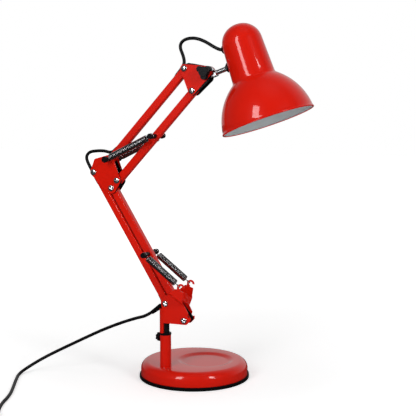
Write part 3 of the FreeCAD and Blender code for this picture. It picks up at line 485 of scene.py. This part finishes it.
def makeCoilTie():  # a flat band round the bundle of turns
    x, y = mainsLead["coilCentre"]
    turn = math.radians(coilTie["angle"])
    out = Vector((math.cos(turn), math.sin(turn), 0))
    along = Vector((-math.sin(turn), math.cos(turn), 0))
    middle = mainsLead["outerTurn"] - 1.5 * mainsLead["pitch"]
    halfAcross = 1.5 * mainsLead["pitch"] + mainsLead["tableLine"] + coilTie["clear"]
    top = mainsLead["pitch"] + 2 * mainsLead["tableLine"] + coilTie["clear"]
    edge = coilTie["corner"]
    outline = []
    for cornerX, cornerZ, start in ((1, 1, 0), (-1, 1, 90), (-1, 0, 180), (1, 0, 270)):
        for step in range(5):
            bend = math.radians(start + 22.5 * step)
            across = cornerX * (halfAcross - edge) + edge * math.cos(bend)
            height = (top - edge if cornerZ else edge) + edge * math.sin(bend)
            outline.append((across, height, math.cos(bend), math.sin(bend)))
    bm = bmesh.new()
    loops = []
    for side, lift in ((-1, 0), (-1, 1), (1, 1), (1, 0)):
        loop = []
        for across, height, nx, nz in outline:
            raised = lift * coilTie["thick"]
            place = tableRoute(x, max(height + raised * nz, 0.05), y)
            place += out * ((middle + across + raised * nx) / 1000)
            loop.append(bm.verts.new(place + along * (side * coilTie["width"] / 2000)))
        loops.append(loop)
    for first, second in zip(loops, loops[1:] + loops[:1]):
        joinRings(bm, first, second)
    return settle(meshObject("coilTie", bm, [blackPlastic]), None, "swivel")


tie = makeCoilTie()
plug = dress("plug_body", 1.4, 3)
pins = dress("plug_pins", 0.5, 3)
print("mains lead laid")

# black sleeve that grips the mains lead at the bracket, ribbed so that it bends
relief = dict(length=20.0, start=4.4, end=3.3, ribs=6, ribDepth=0.7)


def makeStrainRelief():
    profile = [(0, cordSize["radius"]), (0, relief["start"] / 1000)]
    count = relief["ribs"]
    pitch = relief["length"] / (count + 1)
    for i in range(1, count + 1):
        outer = relief["start"] + (relief["end"] - relief["start"]) * i / (count + 1)
        groove = outer - relief["ribDepth"]
        for along, radius in ((-0.35, outer), (-0.25, groove), (0.0, groove), (0.1, outer)):
            profile.append(((i + along) * pitch / 1000, radius / 1000))
    profile.append((relief["length"] / 1000, relief["end"] / 1000))
    profile.append((relief["length"] / 1000, cordSize["radius"]))
    bm = bmesh.new()
    lathe(bm, reliefStart, reliefWay, profile, 40, closed=True)
    piece = meshObject("strainRelief", bm, [blackRubber], 30)
    return settle(piece, "strain_relief", "swivel")


makeStrainRelief()


# the leads that the lamp holds; moves are (x, z) from a pivot or from where two leads meet
heldRoute = dict(
    straight=20.0, centred=34.0,
    footRun=(5.0, 10.0), footLift=2.0, footGrip=(-1.5, 2.5),
    elbowMeeting=(-5.1, 33.5), upperRun=7.0, upperRise=(11.9, 35.7),
    overTheTop=(-7.4, -0.96), rearOfLoop=(-13.9, -9.5), besideLowerBar=16.0,
    headMeeting=(-8.2, 26.7), headRun=0.5, headRise=(-3.4, 16.0),
    loopRise=(-4.3, 9.6), loopTop=(6.6, 20.1), loopFall=20.0,
    glandClear=0.5, glandRun=5.6, lastTurn=148.5, lastRun=14.7,
)


def heldLead(node, points, bodies):  # rides on one body, or bends between two
    piece = wireMesh(node + ".lead", points, cordSize["radius"], cordSkin)
    settle(piece, node, None)
    if len(bodies) == 1:
        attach(piece, bodies[0])
    else:
        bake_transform(piece, bodies[0], bodies[1], start=points[0], end=points[-1])


def barLead(place, way, length):  # in at one end of a bar, along its middle, and out again
    side = cordSize["barOffset"]
    entry = [(cordSize["leadEnd"], side), (heldRoute["straight"], side), (heldRoute["centred"], 0)]
    stations = entry + [(length - along, offset) for along, offset in entry[::-1]]
    return [besideBar(place, way, along, offset) for along, offset in stations]


def makeHeldLeads():
    size = heldRoute
    side = cordSize["barOffset"]
    end = cordSize["leadEnd"]
    lowerLength = (elbow - rearFoot).length * 1000
    upperLength = (topRear - elbowRear).length * 1000
    heldLead("lead_in_lower_bar", barLead(rearFoot, lowerWay, lowerLength), ["lower_rear_bar"])
    heldLead("lead_in_upper_bar", barLead(elbowRear, upperWay, upperLength), ["upper_rear_bar"])
    heldLead("foot_lead", [
        besideBar(rearFoot, lowerWay, end, side),
        besideBar(rearFoot, lowerWay, end - size["footRun"][0], side),
        besideBar(rearFoot, lowerWay, end - size["footRun"][1], side + size["footLift"]),
        reliefPlace(size["footGrip"][0]),
        reliefPlace(size["footGrip"][1]),
    ], ["lower_rear_bar", "swivel"])
    meeting = move(elbow, *size["elbowMeeting"])
    heldLead("elbow_lead_upper", [
        besideBar(elbowRear, upperWay, end, side),
        besideBar(elbowRear, upperWay, end - size["upperRun"], side),
        move(elbow, *size["upperRise"]),
        meeting,
    ], ["upper_rear_bar", "elbow"])
    heldLead("elbow_lead_lower", [
        meeting,
        move(meeting, *size["overTheTop"]),
        move(meeting, *size["rearOfLoop"]),
        besideBar(elbow, lowerWay, size["besideLowerBar"], side),
        besideBar(elbow, lowerWay, -end, side),
    ], ["elbow", "lower_rear_bar"])
    makeHeadLead(size, side, end)


def makeHeadLead(size, side, end):  # up from the upper bar, over in a loop, and into the shade
    firstBreak = move(topRear, *size["headMeeting"])
    outlet = glandOutlet(gland["length"] + size["glandClear"])
    afterGland = outlet + glandWay * (size["glandRun"] / 1000)
    lastTurn = math.radians(size["lastTurn"])
    lastWay = Vector((math.cos(lastTurn), 0, math.sin(lastTurn)))
    secondBreak = afterGland + lastWay * (size["lastRun"] / 1000)
    heldLead("head_lead_foot", [
        besideBar(topRear, upperWay, -end, side),
        besideBar(topRear, upperWay, size["headRun"], side),
        move(topRear, *size["headRise"]),
        firstBreak,
    ], ["upper_rear_bar", "top_bracket"])
    heldLead("head_lead_loop", [
        firstBreak,
        move(firstBreak, *size["loopRise"]),
        move(firstBreak, *size["loopTop"]),
        secondBreak + lastWay * (size["loopFall"] / 1000),
        secondBreak,
    ], ["top_bracket", "clevis"])
    heldLead("head_lead_end", [secondBreak, afterGland, outlet], ["clevis", "shade"])


shadeShape = dict(
    rimRadius=71.4, bellMid=(36.0, 60.9), neckFoot=(67.5, 33.4), neckShoulder=(124.0, 31.0),
    domeMid=(144.2, 23.1), domeTop=153.6, wall=0.9, bead=1.3, beadIn=0.3, footRound=(4.0, 0.17),
    rodHeight=97.0, glandHeight=125.0, rodDrop=5.9, rodReach=34.8, segments=128,
)
gland = dict(radius=7.2, length=4.0, tilt=25.0)


def neckRadius(height):
    foot, shoulder = shadeShape["neckFoot"], shadeShape["neckShoulder"]
    return foot[1] + (height - foot[0]) / (shoulder[0] - foot[0]) * (shoulder[1] - foot[1])


rodStart = headPivot - shadeUp * (shadeShape["rodDrop"] / 1000)
rodEnd = rodStart + rodWay * (shadeShape["rodReach"] / 1000)
shadeFoot = rodEnd + rodWay * (neckRadius(shadeShape["rodHeight"]) / 1000)
shadeFoot = shadeFoot - shadeUp * (shadeShape["rodHeight"] / 1000)
glandTurn = math.atan2(rodWay.z, rodWay.x) + math.pi - math.radians(gland["tilt"])
glandWay = Vector((math.cos(glandTurn), 0, math.sin(glandTurn)))


def shadePlace(height, radius):  # up the shade's axis, and out from it away from the arms
    return shadeFoot + shadeUp * (height / 1000) + rodWay * (radius / 1000)


def glandOutlet(out):
    wall = shadePlace(shadeShape["glandHeight"], -neckRadius(shadeShape["glandHeight"]))
    return wall + glandWay * (out / 1000)


def shadeWall(inset):  # (height, radius) from the mouth to the crown, set in square to the wall
    size = shadeShape
    foot = (size["neckFoot"][0] - inset, size["neckFoot"][1] - inset)
    bell = arcThrough((0, size["rimRadius"] - inset),
                      (size["bellMid"][0] - 0.5 * inset, size["bellMid"][1] - 0.85 * inset), foot, 30)
    shoulder = (size["neckShoulder"][0], size["neckShoulder"][1] - inset)
    dome = arcThrough(shoulder, (size["domeMid"][0] - 0.7 * inset, size["domeMid"][1] - 0.7 * inset),
                      (size["domeTop"] - inset, 0), 20)
    aboveFoot = (foot[0] + size["footRound"][0], foot[1] - size["footRound"][1])
    neck = [(foot[0] + (shoulder[0] - foot[0]) * i / 6, foot[1] + (shoulder[1] - foot[1]) * i / 6)
            for i in range(1, 6)]
    return bell[:-2] + softCorner(bell[-2], foot, aboveFoot) + neck + dome[:-1] + [(dome[-1][0], 0)]


def makeShade():
    size = shadeShape
    outer = shadeWall(0)
    inner = shadeWall(size["wall"])
    rim = []
    for step in range(15):  # the rolled bead, from outside the wall to inside it
        turn = math.radians(50 - 20 * step)
        rim.append((size["bead"] * math.sin(turn),
                    size["rimRadius"] - size["beadIn"] + size["bead"] * math.cos(turn)))
    profile = outer[:0:-1] + rim + inner[1:]
    redRimFaces = 11
    paintedCount = len(outer) - 1 + redRimFaces
    indices = [0 if i < paintedCount else 1 for i in range(len(profile) - 1)]
    bm = bmesh.new()
    metres = [(height / 1000, radius / 1000) for height, radius in profile]
    lathe(bm, shadeFoot, shadeUp, metres, size["segments"], indices=indices)
    piece = meshObject("spunShade", bm, [glossRed, insidePaint], 40)
    return settle(piece, "shade", "shade")


makeShade()
makeHeldLeads()
print("shade and held leads made")

bulb = dict(radius=22.5, length=78.0, capRadius=13.2, capLength=24.0, seat=75.0, threads=6)


def makeBulb():
    crown = bulb["seat"] + bulb["capLength"] - bulb["length"]
    belly = crown + bulb["radius"]
    neckTop = bulb["seat"] + 4.0
    neck = bulb["capRadius"] - 0.6
    profile = [(crown + bulb["radius"] * (1 - math.cos(math.radians(t))),
                bulb["radius"] * math.sin(math.radians(t))) for t in range(0, 91, 6)]
    for i in range(1, 11):
        t = i / 10
        ease = t * t * (3 - 2 * t)
        profile.append((belly + (neckTop - belly) * t,
                        bulb["radius"] + (neck - bulb["radius"]) * (0.35 * t + 0.65 * ease)))
    profile.append((neckTop, 0))
    bm = bmesh.new()
    lathe(bm, shadeFoot, shadeUp, [(h / 1000, r / 1000) for h, r in profile], 64)
    settle(meshObject("bulbGlobe", bm, [opalGlass], 40), "bulb_glass", "shade")
    top = bulb["seat"] + bulb["capLength"]
    cap = [(neckTop + 0.1, 0), (neckTop + 0.1, neck)]
    run = top - neckTop - 3.0
    for i in range(bulb["threads"] * 8 + 1):
        along = i / (bulb["threads"] * 8)
        wave = 0.55 * math.cos(2 * math.pi * along * bulb["threads"])
        cap.append((neckTop + 0.6 + run * along, bulb["capRadius"] - 0.6 + wave))
    cap += [(top - 1.2, bulb["capRadius"] - 3.5), (top, 4.5), (top, 0)]
    bm = bmesh.new()
    lathe(bm, shadeFoot, shadeUp, [(h / 1000, r / 1000) for h, r in cap], 64)
    settle(meshObject("bulbCap", bm, [nickel], 40), "bulb_cap", "shade")


makeBulb()
dress("lamp_holder", 0.6, 3)
print("bulb made")

baseShape = dict(radius=88.5, height=28.0, shoulder=12.5, wall=1.2, foot=3.0, recess=(17.0, 7.5),
                 recessRadius=46.5, floorRadius=37.0, edgeRound=1.4, depth=3.0, segments=160)


def baseLoops(inset):  # (centre x, centre y, height, radius), from the foot inwards
    size = baseShape
    radius, height = size["radius"] - inset, size["height"] - inset
    bend = size["shoulder"] - inset
    loops = [(0, 0, size["foot"], radius), (0, 0, size["foot"] + 2.0, radius)]
    for i in range(13):
        turn = math.radians(90 * i / 12)
        loops.append((0, 0, height - bend + bend * math.sin(turn), radius - bend + bend * math.cos(turn)))
    x, y = size["recess"]
    edge = size["recessRadius"] + size["edgeRound"]
    floor = size["floorRadius"] - size["edgeRound"]
    loops.append((0.3 * x, 0.3 * y, height, size["recessRadius"] + 20))
    loops.append((x, y, height, edge))
    for i in range(1, 11):
        t = i / 10
        loops.append((x, y, height - size["depth"] * t * t * (3 - 2 * t), edge + (floor - edge) * t))
    loops += [(x, y, height - size["depth"], share * size["floorRadius"]) for share in (0.9, 0.5, 0)]
    return loops


def makeBaseCover():
    bm = bmesh.new()
    rings = []
    for x, y, height, radius in baseLoops(0)[::-1] + baseLoops(baseShape["wall"]):
        centre = Vector((x, y, height)) / 1000
        rings.append(ringVertices(bm, centre, Vector((0, 0, 1)), radius / 1000, baseShape["segments"]))
    for first, second in zip(rings, rings[1:]):
        joinRings(bm, first, second)
    settle(meshObject("baseShell", bm, [glossRed], 40), "base_cover", "base")


makeBaseCover()
ringShape = dict(radius=91.0, height=5.5, inner=88.5, lip=3.0, pad=3.0, soft=1.2)


def makeBaseRing():  # rubber edging with a rounded lip
    size = ringShape
    outer, soft, top = size["radius"], size["soft"], size["height"]
    profile = [(0, outer - size["lip"]), (0, outer - soft)]
    profile += softCorner((0, outer - soft), (0, outer), (soft, outer))[1:]
    profile += [(top - soft, outer)]
    profile += softCorner((top - soft, outer), (top, outer), (top, outer - soft))[1:]
    profile += [(top, size["inner"]), (size["pad"], size["inner"]), (size["pad"], outer - size["lip"])]
    bm = bmesh.new()
    lathe(bm, Vector(), Vector((0, 0, 1)), [(h / 1000, r / 1000) for h, r in profile], 160, closed=True)
    settle(meshObject("baseEdging", bm, [blackRubber], 40), "base_ring", "base")


makeBaseRing()
dress("post", 0.5, 3)
dress("collar_bush", 0.7, 3)
dress("thumbscrew_knob", 0.6, 3)
print("base made")

easedEdges = {  # millimetres
    "foot_bracket": 0.35, "foot_liners": 0.3, "foot_nuts": 0.3, "swivel_stem": 0.2,
    "lower_rear_bar": 0.2, "lower_front_bar": 0.2, "upper_rear_bar": 0.2, "upper_front_bar": 0.2,
    "elbow_plate_near": 0.35, "elbow_plate_far": 0.35, "elbow_liners": 0.3, "elbow_nuts": 0.3,
    "top_plate_near": 0.35, "top_plate_far": 0.35, "top_liners": 0.3, "top_nuts": 0.3,
    "lower_spring_caps": 0.7, "upper_spring_caps": 0.7, "elbow_spring_caps": 0.7,
    "clamp_knob": 1.0, "head_clevis": 0.6, "head_rod": 0.3, "neck_nuts": 0.4, "neck_washers": 0.2,
    "cord_gland": 0.5, "clamp_bolt": 0.4,
}
for nodeName, width in easedEdges.items():
    dress(nodeName, width, 3 if width >= 0.6 else 2)
print("metalwork dressed")

screwShape = dict(radius=2.0, headRadius=5.1, headHeight=2.7, slot=1.15, slotDepth=1.3, slotReach=3.1,
                  face=9.4, shank=18.8, headWall=0.9, edgeRound=0.3)


def screwMould():  # one pan-head screw along -Y, its seat at the origin
    size = screwShape
    profile = [(-size["shank"], 0), (-size["shank"], size["radius"]), (0, size["radius"]),
               (0, size["headRadius"] - size["edgeRound"]), (0.25, size["headRadius"]),
               (size["headWall"], size["headRadius"] - 0.1)]
    for i in range(1, 9):
        turn = math.radians(90 * i / 8)
        profile.append((size["headWall"] + (size["headHeight"] - size["headWall"]) * math.sin(turn),
                        (size["headRadius"] - 0.1) * math.cos(turn) ** 0.75 if i < 8 else 0))
    bm = bmesh.new()
    lathe(bm, Vector(), Vector((0, -1, 0)), [(h / 1000, r / 1000) for h, r in profile], 40)
    screw = meshObject("screwMould", bm, [chrome], 40)
    for turned in (False, True):  # the two cuts of a cross slot
        reach = (size["slotReach"] * 2, size["slot"])
        across, up = reach if turned else reach[::-1]
        cutter = bmesh.new()
        bmesh.ops.create_cube(cutter, size=1)
        bmesh.ops.scale(cutter, verts=cutter.verts, vec=Vector((across, 2 * size["slotDepth"], up)) / 1000)
        bmesh.ops.translate(cutter, verts=cutter.verts, vec=Vector((0, -size["headHeight"], 0)) / 1000)
        tool = meshObject("slotCutter", cutter, [blackSteel])
        cut = screw.modifiers.new("slot", "BOOLEAN")
        cut.object = tool
        cut.operation = "DIFFERENCE"
        cut.solver = "EXACT"
        mesh = plainMesh(screw)
        screw.modifiers.clear()
        screw.data = mesh
        bpy.data.objects.remove(tool)
    smooth(screw.data, 40)
    return screw


def setOutTree():  # puts the moulded part on every point, each turned a little differently
    tree = bpy.data.node_groups.new("setOutScrews", "GeometryNodeTree")
    face = tree.interface
    face.new_socket("Geometry", in_out="INPUT", socket_type="NodeSocketGeometry")
    for label, kind in (("Mould", "NodeSocketObject"), ("Seed", "NodeSocketInt"),
                        ("Finish", "NodeSocketMaterial")):
        face.new_socket(label, in_out="INPUT", socket_type=kind)
    face.new_socket("Geometry", in_out="OUTPUT", socket_type="NodeSocketGeometry")
    add = tree.nodes.new
    given, result = add("NodeGroupInput"), add("NodeGroupOutput")
    mould = add("GeometryNodeObjectInfo")
    turn = add("FunctionNodeRandomValue")
    turn.data_type = "FLOAT_VECTOR"
    turn.inputs["Max"].default_value = (0, 1.5, 0)
    place = add("GeometryNodeInstanceOnPoints")
    real = add("GeometryNodeRealizeInstances")
    paint = add("GeometryNodeSetMaterial")
    join = tree.links.new
    join(given.outputs["Mould"], mould.inputs["Object"])
    join(given.outputs["Seed"], turn.inputs["Seed"])
    join(given.outputs["Geometry"], place.inputs["Points"])
    join(mould.outputs["Geometry"], place.inputs["Instance"])
    join(turn.outputs["Value"], place.inputs["Rotation"])
    join(place.outputs["Instances"], real.inputs["Geometry"])
    join(real.outputs["Geometry"], paint.inputs["Geometry"])
    join(given.outputs["Finish"], paint.inputs["Material"])
    join(paint.outputs["Geometry"], result.inputs["Geometry"])
    return tree


def fromTree(name, tree, settings, places=()):  # runs a node tree and keeps its plain mesh
    mesh = bpy.data.meshes.new(name)
    mesh.from_pydata([tuple(place) for place in places], [], [])
    obj = link(bpy.data.objects.new(name, mesh))
    run = obj.modifiers.new("build", "NODES")
    run.node_group = tree
    for item in tree.interface.items_tree:
        if item.in_out == "INPUT" and item.name in settings:
            run[item.identifier] = settings[item.name]
    made = plainMesh(obj)
    obj.modifiers.clear()
    obj.data = made
    return obj


screwPart = screwMould()
screwTree = setOutTree()
seat = Vector((0, -screwShape["face"] / 1000, 0))
topFront = elbowFront + upperWay * (topRear - elbowRear).length
screwSets = {
    "foot_screws": ("swivel", [rearFoot, frontFoot], 3),
    "elbow_screws": ("elbow", [elbow, elbow + (frontFoot - rearFoot), elbowFront], 5),
    "top_screws": ("top_bracket", [topFront, topRear], 8),
}
for nodeName, (body, places, seed) in screwSets.items():
    screws = fromTree(nodeName + ".set", screwTree, {"Mould": screwPart, "Seed": seed, "Finish": chrome},
                      [place + seat for place in places])
    smooth(screws.data, 40)
    settle(screws, nodeName, body)
bpy.data.objects.remove(screwPart)
print("screws set")

springShape = dict(offset=20.0, radius=5.6, wire=1.5, shank=4.5, pinEye=3.35, hookEye=2.05,
                   hookFromFront=(-0.4, 54.8), hookRadius=6.3, hookBar=3.1,
                   lowerAlong=121.0, upperAlong=98.0, pointsPerTurn=20, wireSides=8)


def springTree():  # a close-wound barrel along +Z from the origin
    tree = bpy.data.node_groups.new("woundSpring", "GeometryNodeTree")
    face = tree.interface
    for label, kind in (("Turns", "NodeSocketFloat"), ("Radius", "NodeSocketFloat"),
                        ("Length", "NodeSocketFloat"), ("WireRadius", "NodeSocketFloat"),
                        ("PointsPerTurn", "NodeSocketInt"), ("WireSides", "NodeSocketInt"),
                        ("Finish", "NodeSocketMaterial")):
        face.new_socket(label, in_out="INPUT", socket_type=kind)
    face.new_socket("Geometry", in_out="OUTPUT", socket_type="NodeSocketGeometry")
    add = tree.nodes.new
    given, result = add("NodeGroupInput"), add("NodeGroupOutput")
    winding = add("GeometryNodeCurveSpiral")
    section = add("GeometryNodeCurvePrimitiveCircle")
    sweep = add("GeometryNodeCurveToMesh")
    sweep.inputs["Fill Caps"].default_value = True
    real = add("GeometryNodeRealizeInstances")
    paint = add("GeometryNodeSetMaterial")
    join = tree.links.new
    join(given.outputs["PointsPerTurn"], winding.inputs["Resolution"])
    join(given.outputs["Turns"], winding.inputs["Rotations"])
    join(given.outputs["Radius"], winding.inputs["Start Radius"])
    join(given.outputs["Radius"], winding.inputs["End Radius"])
    join(given.outputs["Length"], winding.inputs["Height"])
    join(given.outputs["WireSides"], section.inputs["Resolution"])
    join(given.outputs["WireRadius"], section.inputs["Radius"])
    join(winding.outputs["Curve"], sweep.inputs["Curve"])
    join(section.outputs["Curve"], sweep.inputs["Profile Curve"])
    join(sweep.outputs["Mesh"], real.inputs["Geometry"])
    join(real.outputs["Geometry"], paint.inputs["Geometry"])
    join(given.outputs["Finish"], paint.inputs["Material"])
    join(paint.outputs["Geometry"], result.inputs["Geometry"])
    return tree


windTree = springTree()


def wireEye(name, centre, toward, axis, eyeRadius, barrelFace):  # the shank and loop at one end
    size = springShape
    side = axis.cross(toward).normalized()
    ring = (eyeRadius + size["wire"] / 2) / 1000
    coilEdge = (size["radius"] - size["wire"] / 2) / 1000
    points = [barrelFace + side * coilEdge, barrelFace + side * coilEdge * 0.9 - toward * 0.0012,
              barrelFace - toward * 0.0022, centre + toward * (ring + 0.0012)]
    for i in range(15):
        turn = math.radians(8 + 26 * i)
        points.append(centre + (toward * math.cos(turn) + side * math.sin(turn)) * ring * 1.03)
    return wireMesh(name, points, size["wire"] / 2000, springSteel, 6)


def makeSpring(name, start, end, startEye, endEye, hooked):
    size = springShape
    way = (end - start).normalized()
    sideways = Vector((0, 1, 0))
    barrelStart = start + way * ((startEye + size["shank"]) / 1000)
    barrelEnd = end - way * ((endEye + size["shank"]) / 1000)
    halfWire = size["wire"] / 2000
    length = (barrelEnd - barrelStart).length - 2 * halfWire
    barrel = fromTree(name, windTree, {
        "Turns": round(length / (size["wire"] * 1.04 / 1000)), "Radius": size["radius"] / 1000 - halfWire,
        "Length": length, "WireRadius": halfWire, "PointsPerTurn": size["pointsPerTurn"],
        "WireSides": size["wireSides"], "Finish": springSteel,
    })
    turn = Vector((0, 0, 1)).rotation_difference(way).to_matrix().to_4x4()
    barrel.data.transform(Matrix.Translation(barrelStart + way * halfWire) @ turn)
    smooth(barrel.data, 60)
    endAxis = way.cross(sideways) if hooked else sideways
    first = wireEye(name + ".a", start, way, sideways, startEye, barrelStart + way * halfWire)
    last = wireEye(name + ".b", end, -way, endAxis, endEye, barrelEnd - way * halfWire)
    return [barrel, first, last]


def joined(name, pieces):  # several meshes as one piece
    bm = bmesh.new()
    for piece in pieces:
        bm.from_mesh(piece.data)
    mesh = bpy.data.meshes.new(name)
    bm.to_mesh(mesh)
    bm.free()
    mesh.materials.append(pieces[0].data.materials[0])
    for piece in pieces:
        bpy.data.objects.remove(piece)
    smooth(mesh, 60)
    return link(bpy.data.objects.new(name, mesh))


def makeSprings():
    size = springShape
    hook = move(frontFoot, *size["hookFromFront"])
    lowerPin = frontFoot + lowerWay * (size["lowerAlong"] / 1000)
    upperPin = elbowFront + upperWay * (size["upperAlong"] / 1000)
    hookSeat = hook + (lowerPin - hook).normalized() * ((size["hookRadius"] - size["hookBar"] / 2) / 1000)
    lower, upper = [], []
    for side in (-1, 1):
        out = Vector((0, side * size["offset"] / 1000, 0))
        lower += makeSpring(f"lowerSpring{side}", lowerPin + out, hookSeat + out,
                            size["pinEye"], size["hookEye"], True)
        upper += makeSpring(f"upperSpring{side}", elbowRear + out, upperPin + out,
                            size["pinEye"], size["pinEye"], False)
    lowerSet = settle(joined("lowerSprings", lower), "lower_springs", None)
    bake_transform(lowerSet, "swivel", "lower_front_bar", start=hookSeat, end=lowerPin)
    upperSet = settle(joined("upperSprings", upper), "upper_springs", None)
    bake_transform(upperSet, "elbow", "upper_front_bar", start=elbowRear, end=upperPin)


makeSprings()
print("springs wound")

# what is left shows the frame's own shape
for nodeName, node in nodes.items():
    if nodeName not in replacedNodes:
        for materialSlot in node.material_slots:
            materialSlot.material = finishFor[slotOf[nodeName]]

studio = dict(
    floorHalf=8.0, floorInPaint=0.06, floorGlow=(0.46, 0.95), floorFade=(0.2, 1.6),
    skyAhead=0.10, skyBehind=0.62, skyTurn=(0.2, 0.9),
    softboxes=[
        dict(place=(-0.35, -1.9, 1.05), aim=(0.02, -0.05, 0.35), width=0.5, height=1.3, power=17),
        dict(place=(1.86, -0.98, 1.12), aim=(0.02, -0.05, 0.40), width=0.42, height=1.0, power=14),
        dict(place=(0.4, -0.3, 2.3), aim=(0.05, -0.05, 0.3), width=1.2, height=1.2, power=9,
             mirrored=False),
    ],
)


def setRange(node, given, wanted):
    for label, value in zip(("From Min", "From Max", "To Min", "To Max"), (*given, *wanted)):
        node.inputs[label].default_value = value


def floorFinish():  # glows more with distance, and looks dark in the lamp's own gloss
    material = finish("paleFloor", (0.90, 0.90, 0.90), (0.885, 0.885, 0.885), 0.8, 0.05, 3, 60, 0.02, 0.0005,
                      Emission_Color=(1, 1, 1, 1), Specular_IOR_Level=0.1)
    tree = material.node_tree
    surface = tree.nodes["Principled BSDF"]
    path = tree.nodes.new("ShaderNodeLightPath")
    place = tree.nodes.new("ShaderNodeTexCoord")
    reach = tree.nodes.new("ShaderNodeVectorMath")
    reach.operation = "LENGTH"
    fade = tree.nodes.new("ShaderNodeMapRange")
    setRange(fade, studio["floorFade"], studio["floorGlow"])
    glow = tree.nodes.new("ShaderNodeMath")
    glow.operation = "MULTIPLY"
    tree.links.new(place.outputs["Object"], reach.inputs[0])
    tree.links.new(reach.outputs["Value"], fade.inputs["Value"])
    tree.links.new(path.outputs["Is Camera Ray"], glow.inputs[0])
    tree.links.new(fade.outputs["Result"], glow.inputs[1])
    tree.links.new(glow.outputs[0], surface.inputs["Emission Strength"])
    seen = surface.inputs["Base Color"].links[0].from_socket
    mirrored = tree.nodes.new("ShaderNodeMix")
    mirrored.data_type = "RGBA"
    mirrored.inputs["B"].default_value = (*[studio["floorInPaint"]] * 3, 1)
    tree.links.new(path.outputs["Is Glossy Ray"], mirrored.inputs["Factor"])
    tree.links.new(seen, mirrored.inputs["A"])
    tree.links.new(mirrored.outputs["Result"], surface.inputs["Base Color"])
    return material


def makeFloor():  # pale table top that runs into a white background
    half = studio["floorHalf"]
    corners = [(-half, -half, 0), (half, -half, 0), (half, half, 0), (-half, half, 0)]
    mesh = bpy.data.meshes.new("floor")
    mesh.from_pydata(corners, [], [(0, 1, 2, 3)])
    mesh.materials.append(floorFinish())
    link(bpy.data.objects.new("floor", mesh))


def makeSky():  # seen white, but dimmer in front of the lamp so that its colours stay deep
    world = bpy.data.worlds.new("studioWorld")
    world.use_nodes = True
    add = world.node_tree.nodes.new
    join = world.node_tree.links.new
    shown = world.node_tree.nodes["Background"]
    place = add("ShaderNodeTexCoord")
    split = add("ShaderNodeSeparateXYZ")
    depth = add("ShaderNodeMapRange")
    setRange(depth, studio["skyTurn"], (studio["skyAhead"], studio["skyBehind"]))
    path = add("ShaderNodeLightPath")
    seen = add("ShaderNodeMix")
    seen.data_type = "FLOAT"
    seen.inputs["B"].default_value = 1.0
    join(place.outputs["Generated"], split.inputs["Vector"])
    join(split.outputs["Y"], depth.inputs["Value"])
    join(path.outputs["Is Camera Ray"], seen.inputs["Factor"])
    join(depth.outputs["Result"], seen.inputs["A"])
    join(seen.outputs["Result"], shown.inputs["Strength"])
    shown.inputs["Color"].default_value = (1, 1, 1, 1)
    bpy.context.scene.world = world


def makeLights():
    for number, box in enumerate(studio["softboxes"]):
        data = bpy.data.lights.new(f"softbox{number}", "AREA")
        data.shape = "RECTANGLE"
        data.size = box["width"]
        data.size_y = box["height"]
        data.energy = box["power"]
        lamp = link(bpy.data.objects.new(f"softbox{number}", data))
        lamp.location = box["place"]
        lamp.visible_glossy = box.get("mirrored", True)
        toward = Vector(box["aim"]) - Vector(box["place"])
        lamp.rotation_euler = toward.to_track_quat("-Z", "Y").to_euler()


makeFloor()
makeSky()
makeLights()
bpy.context.scene.view_settings.view_transform = "Standard"
print("studio lit")
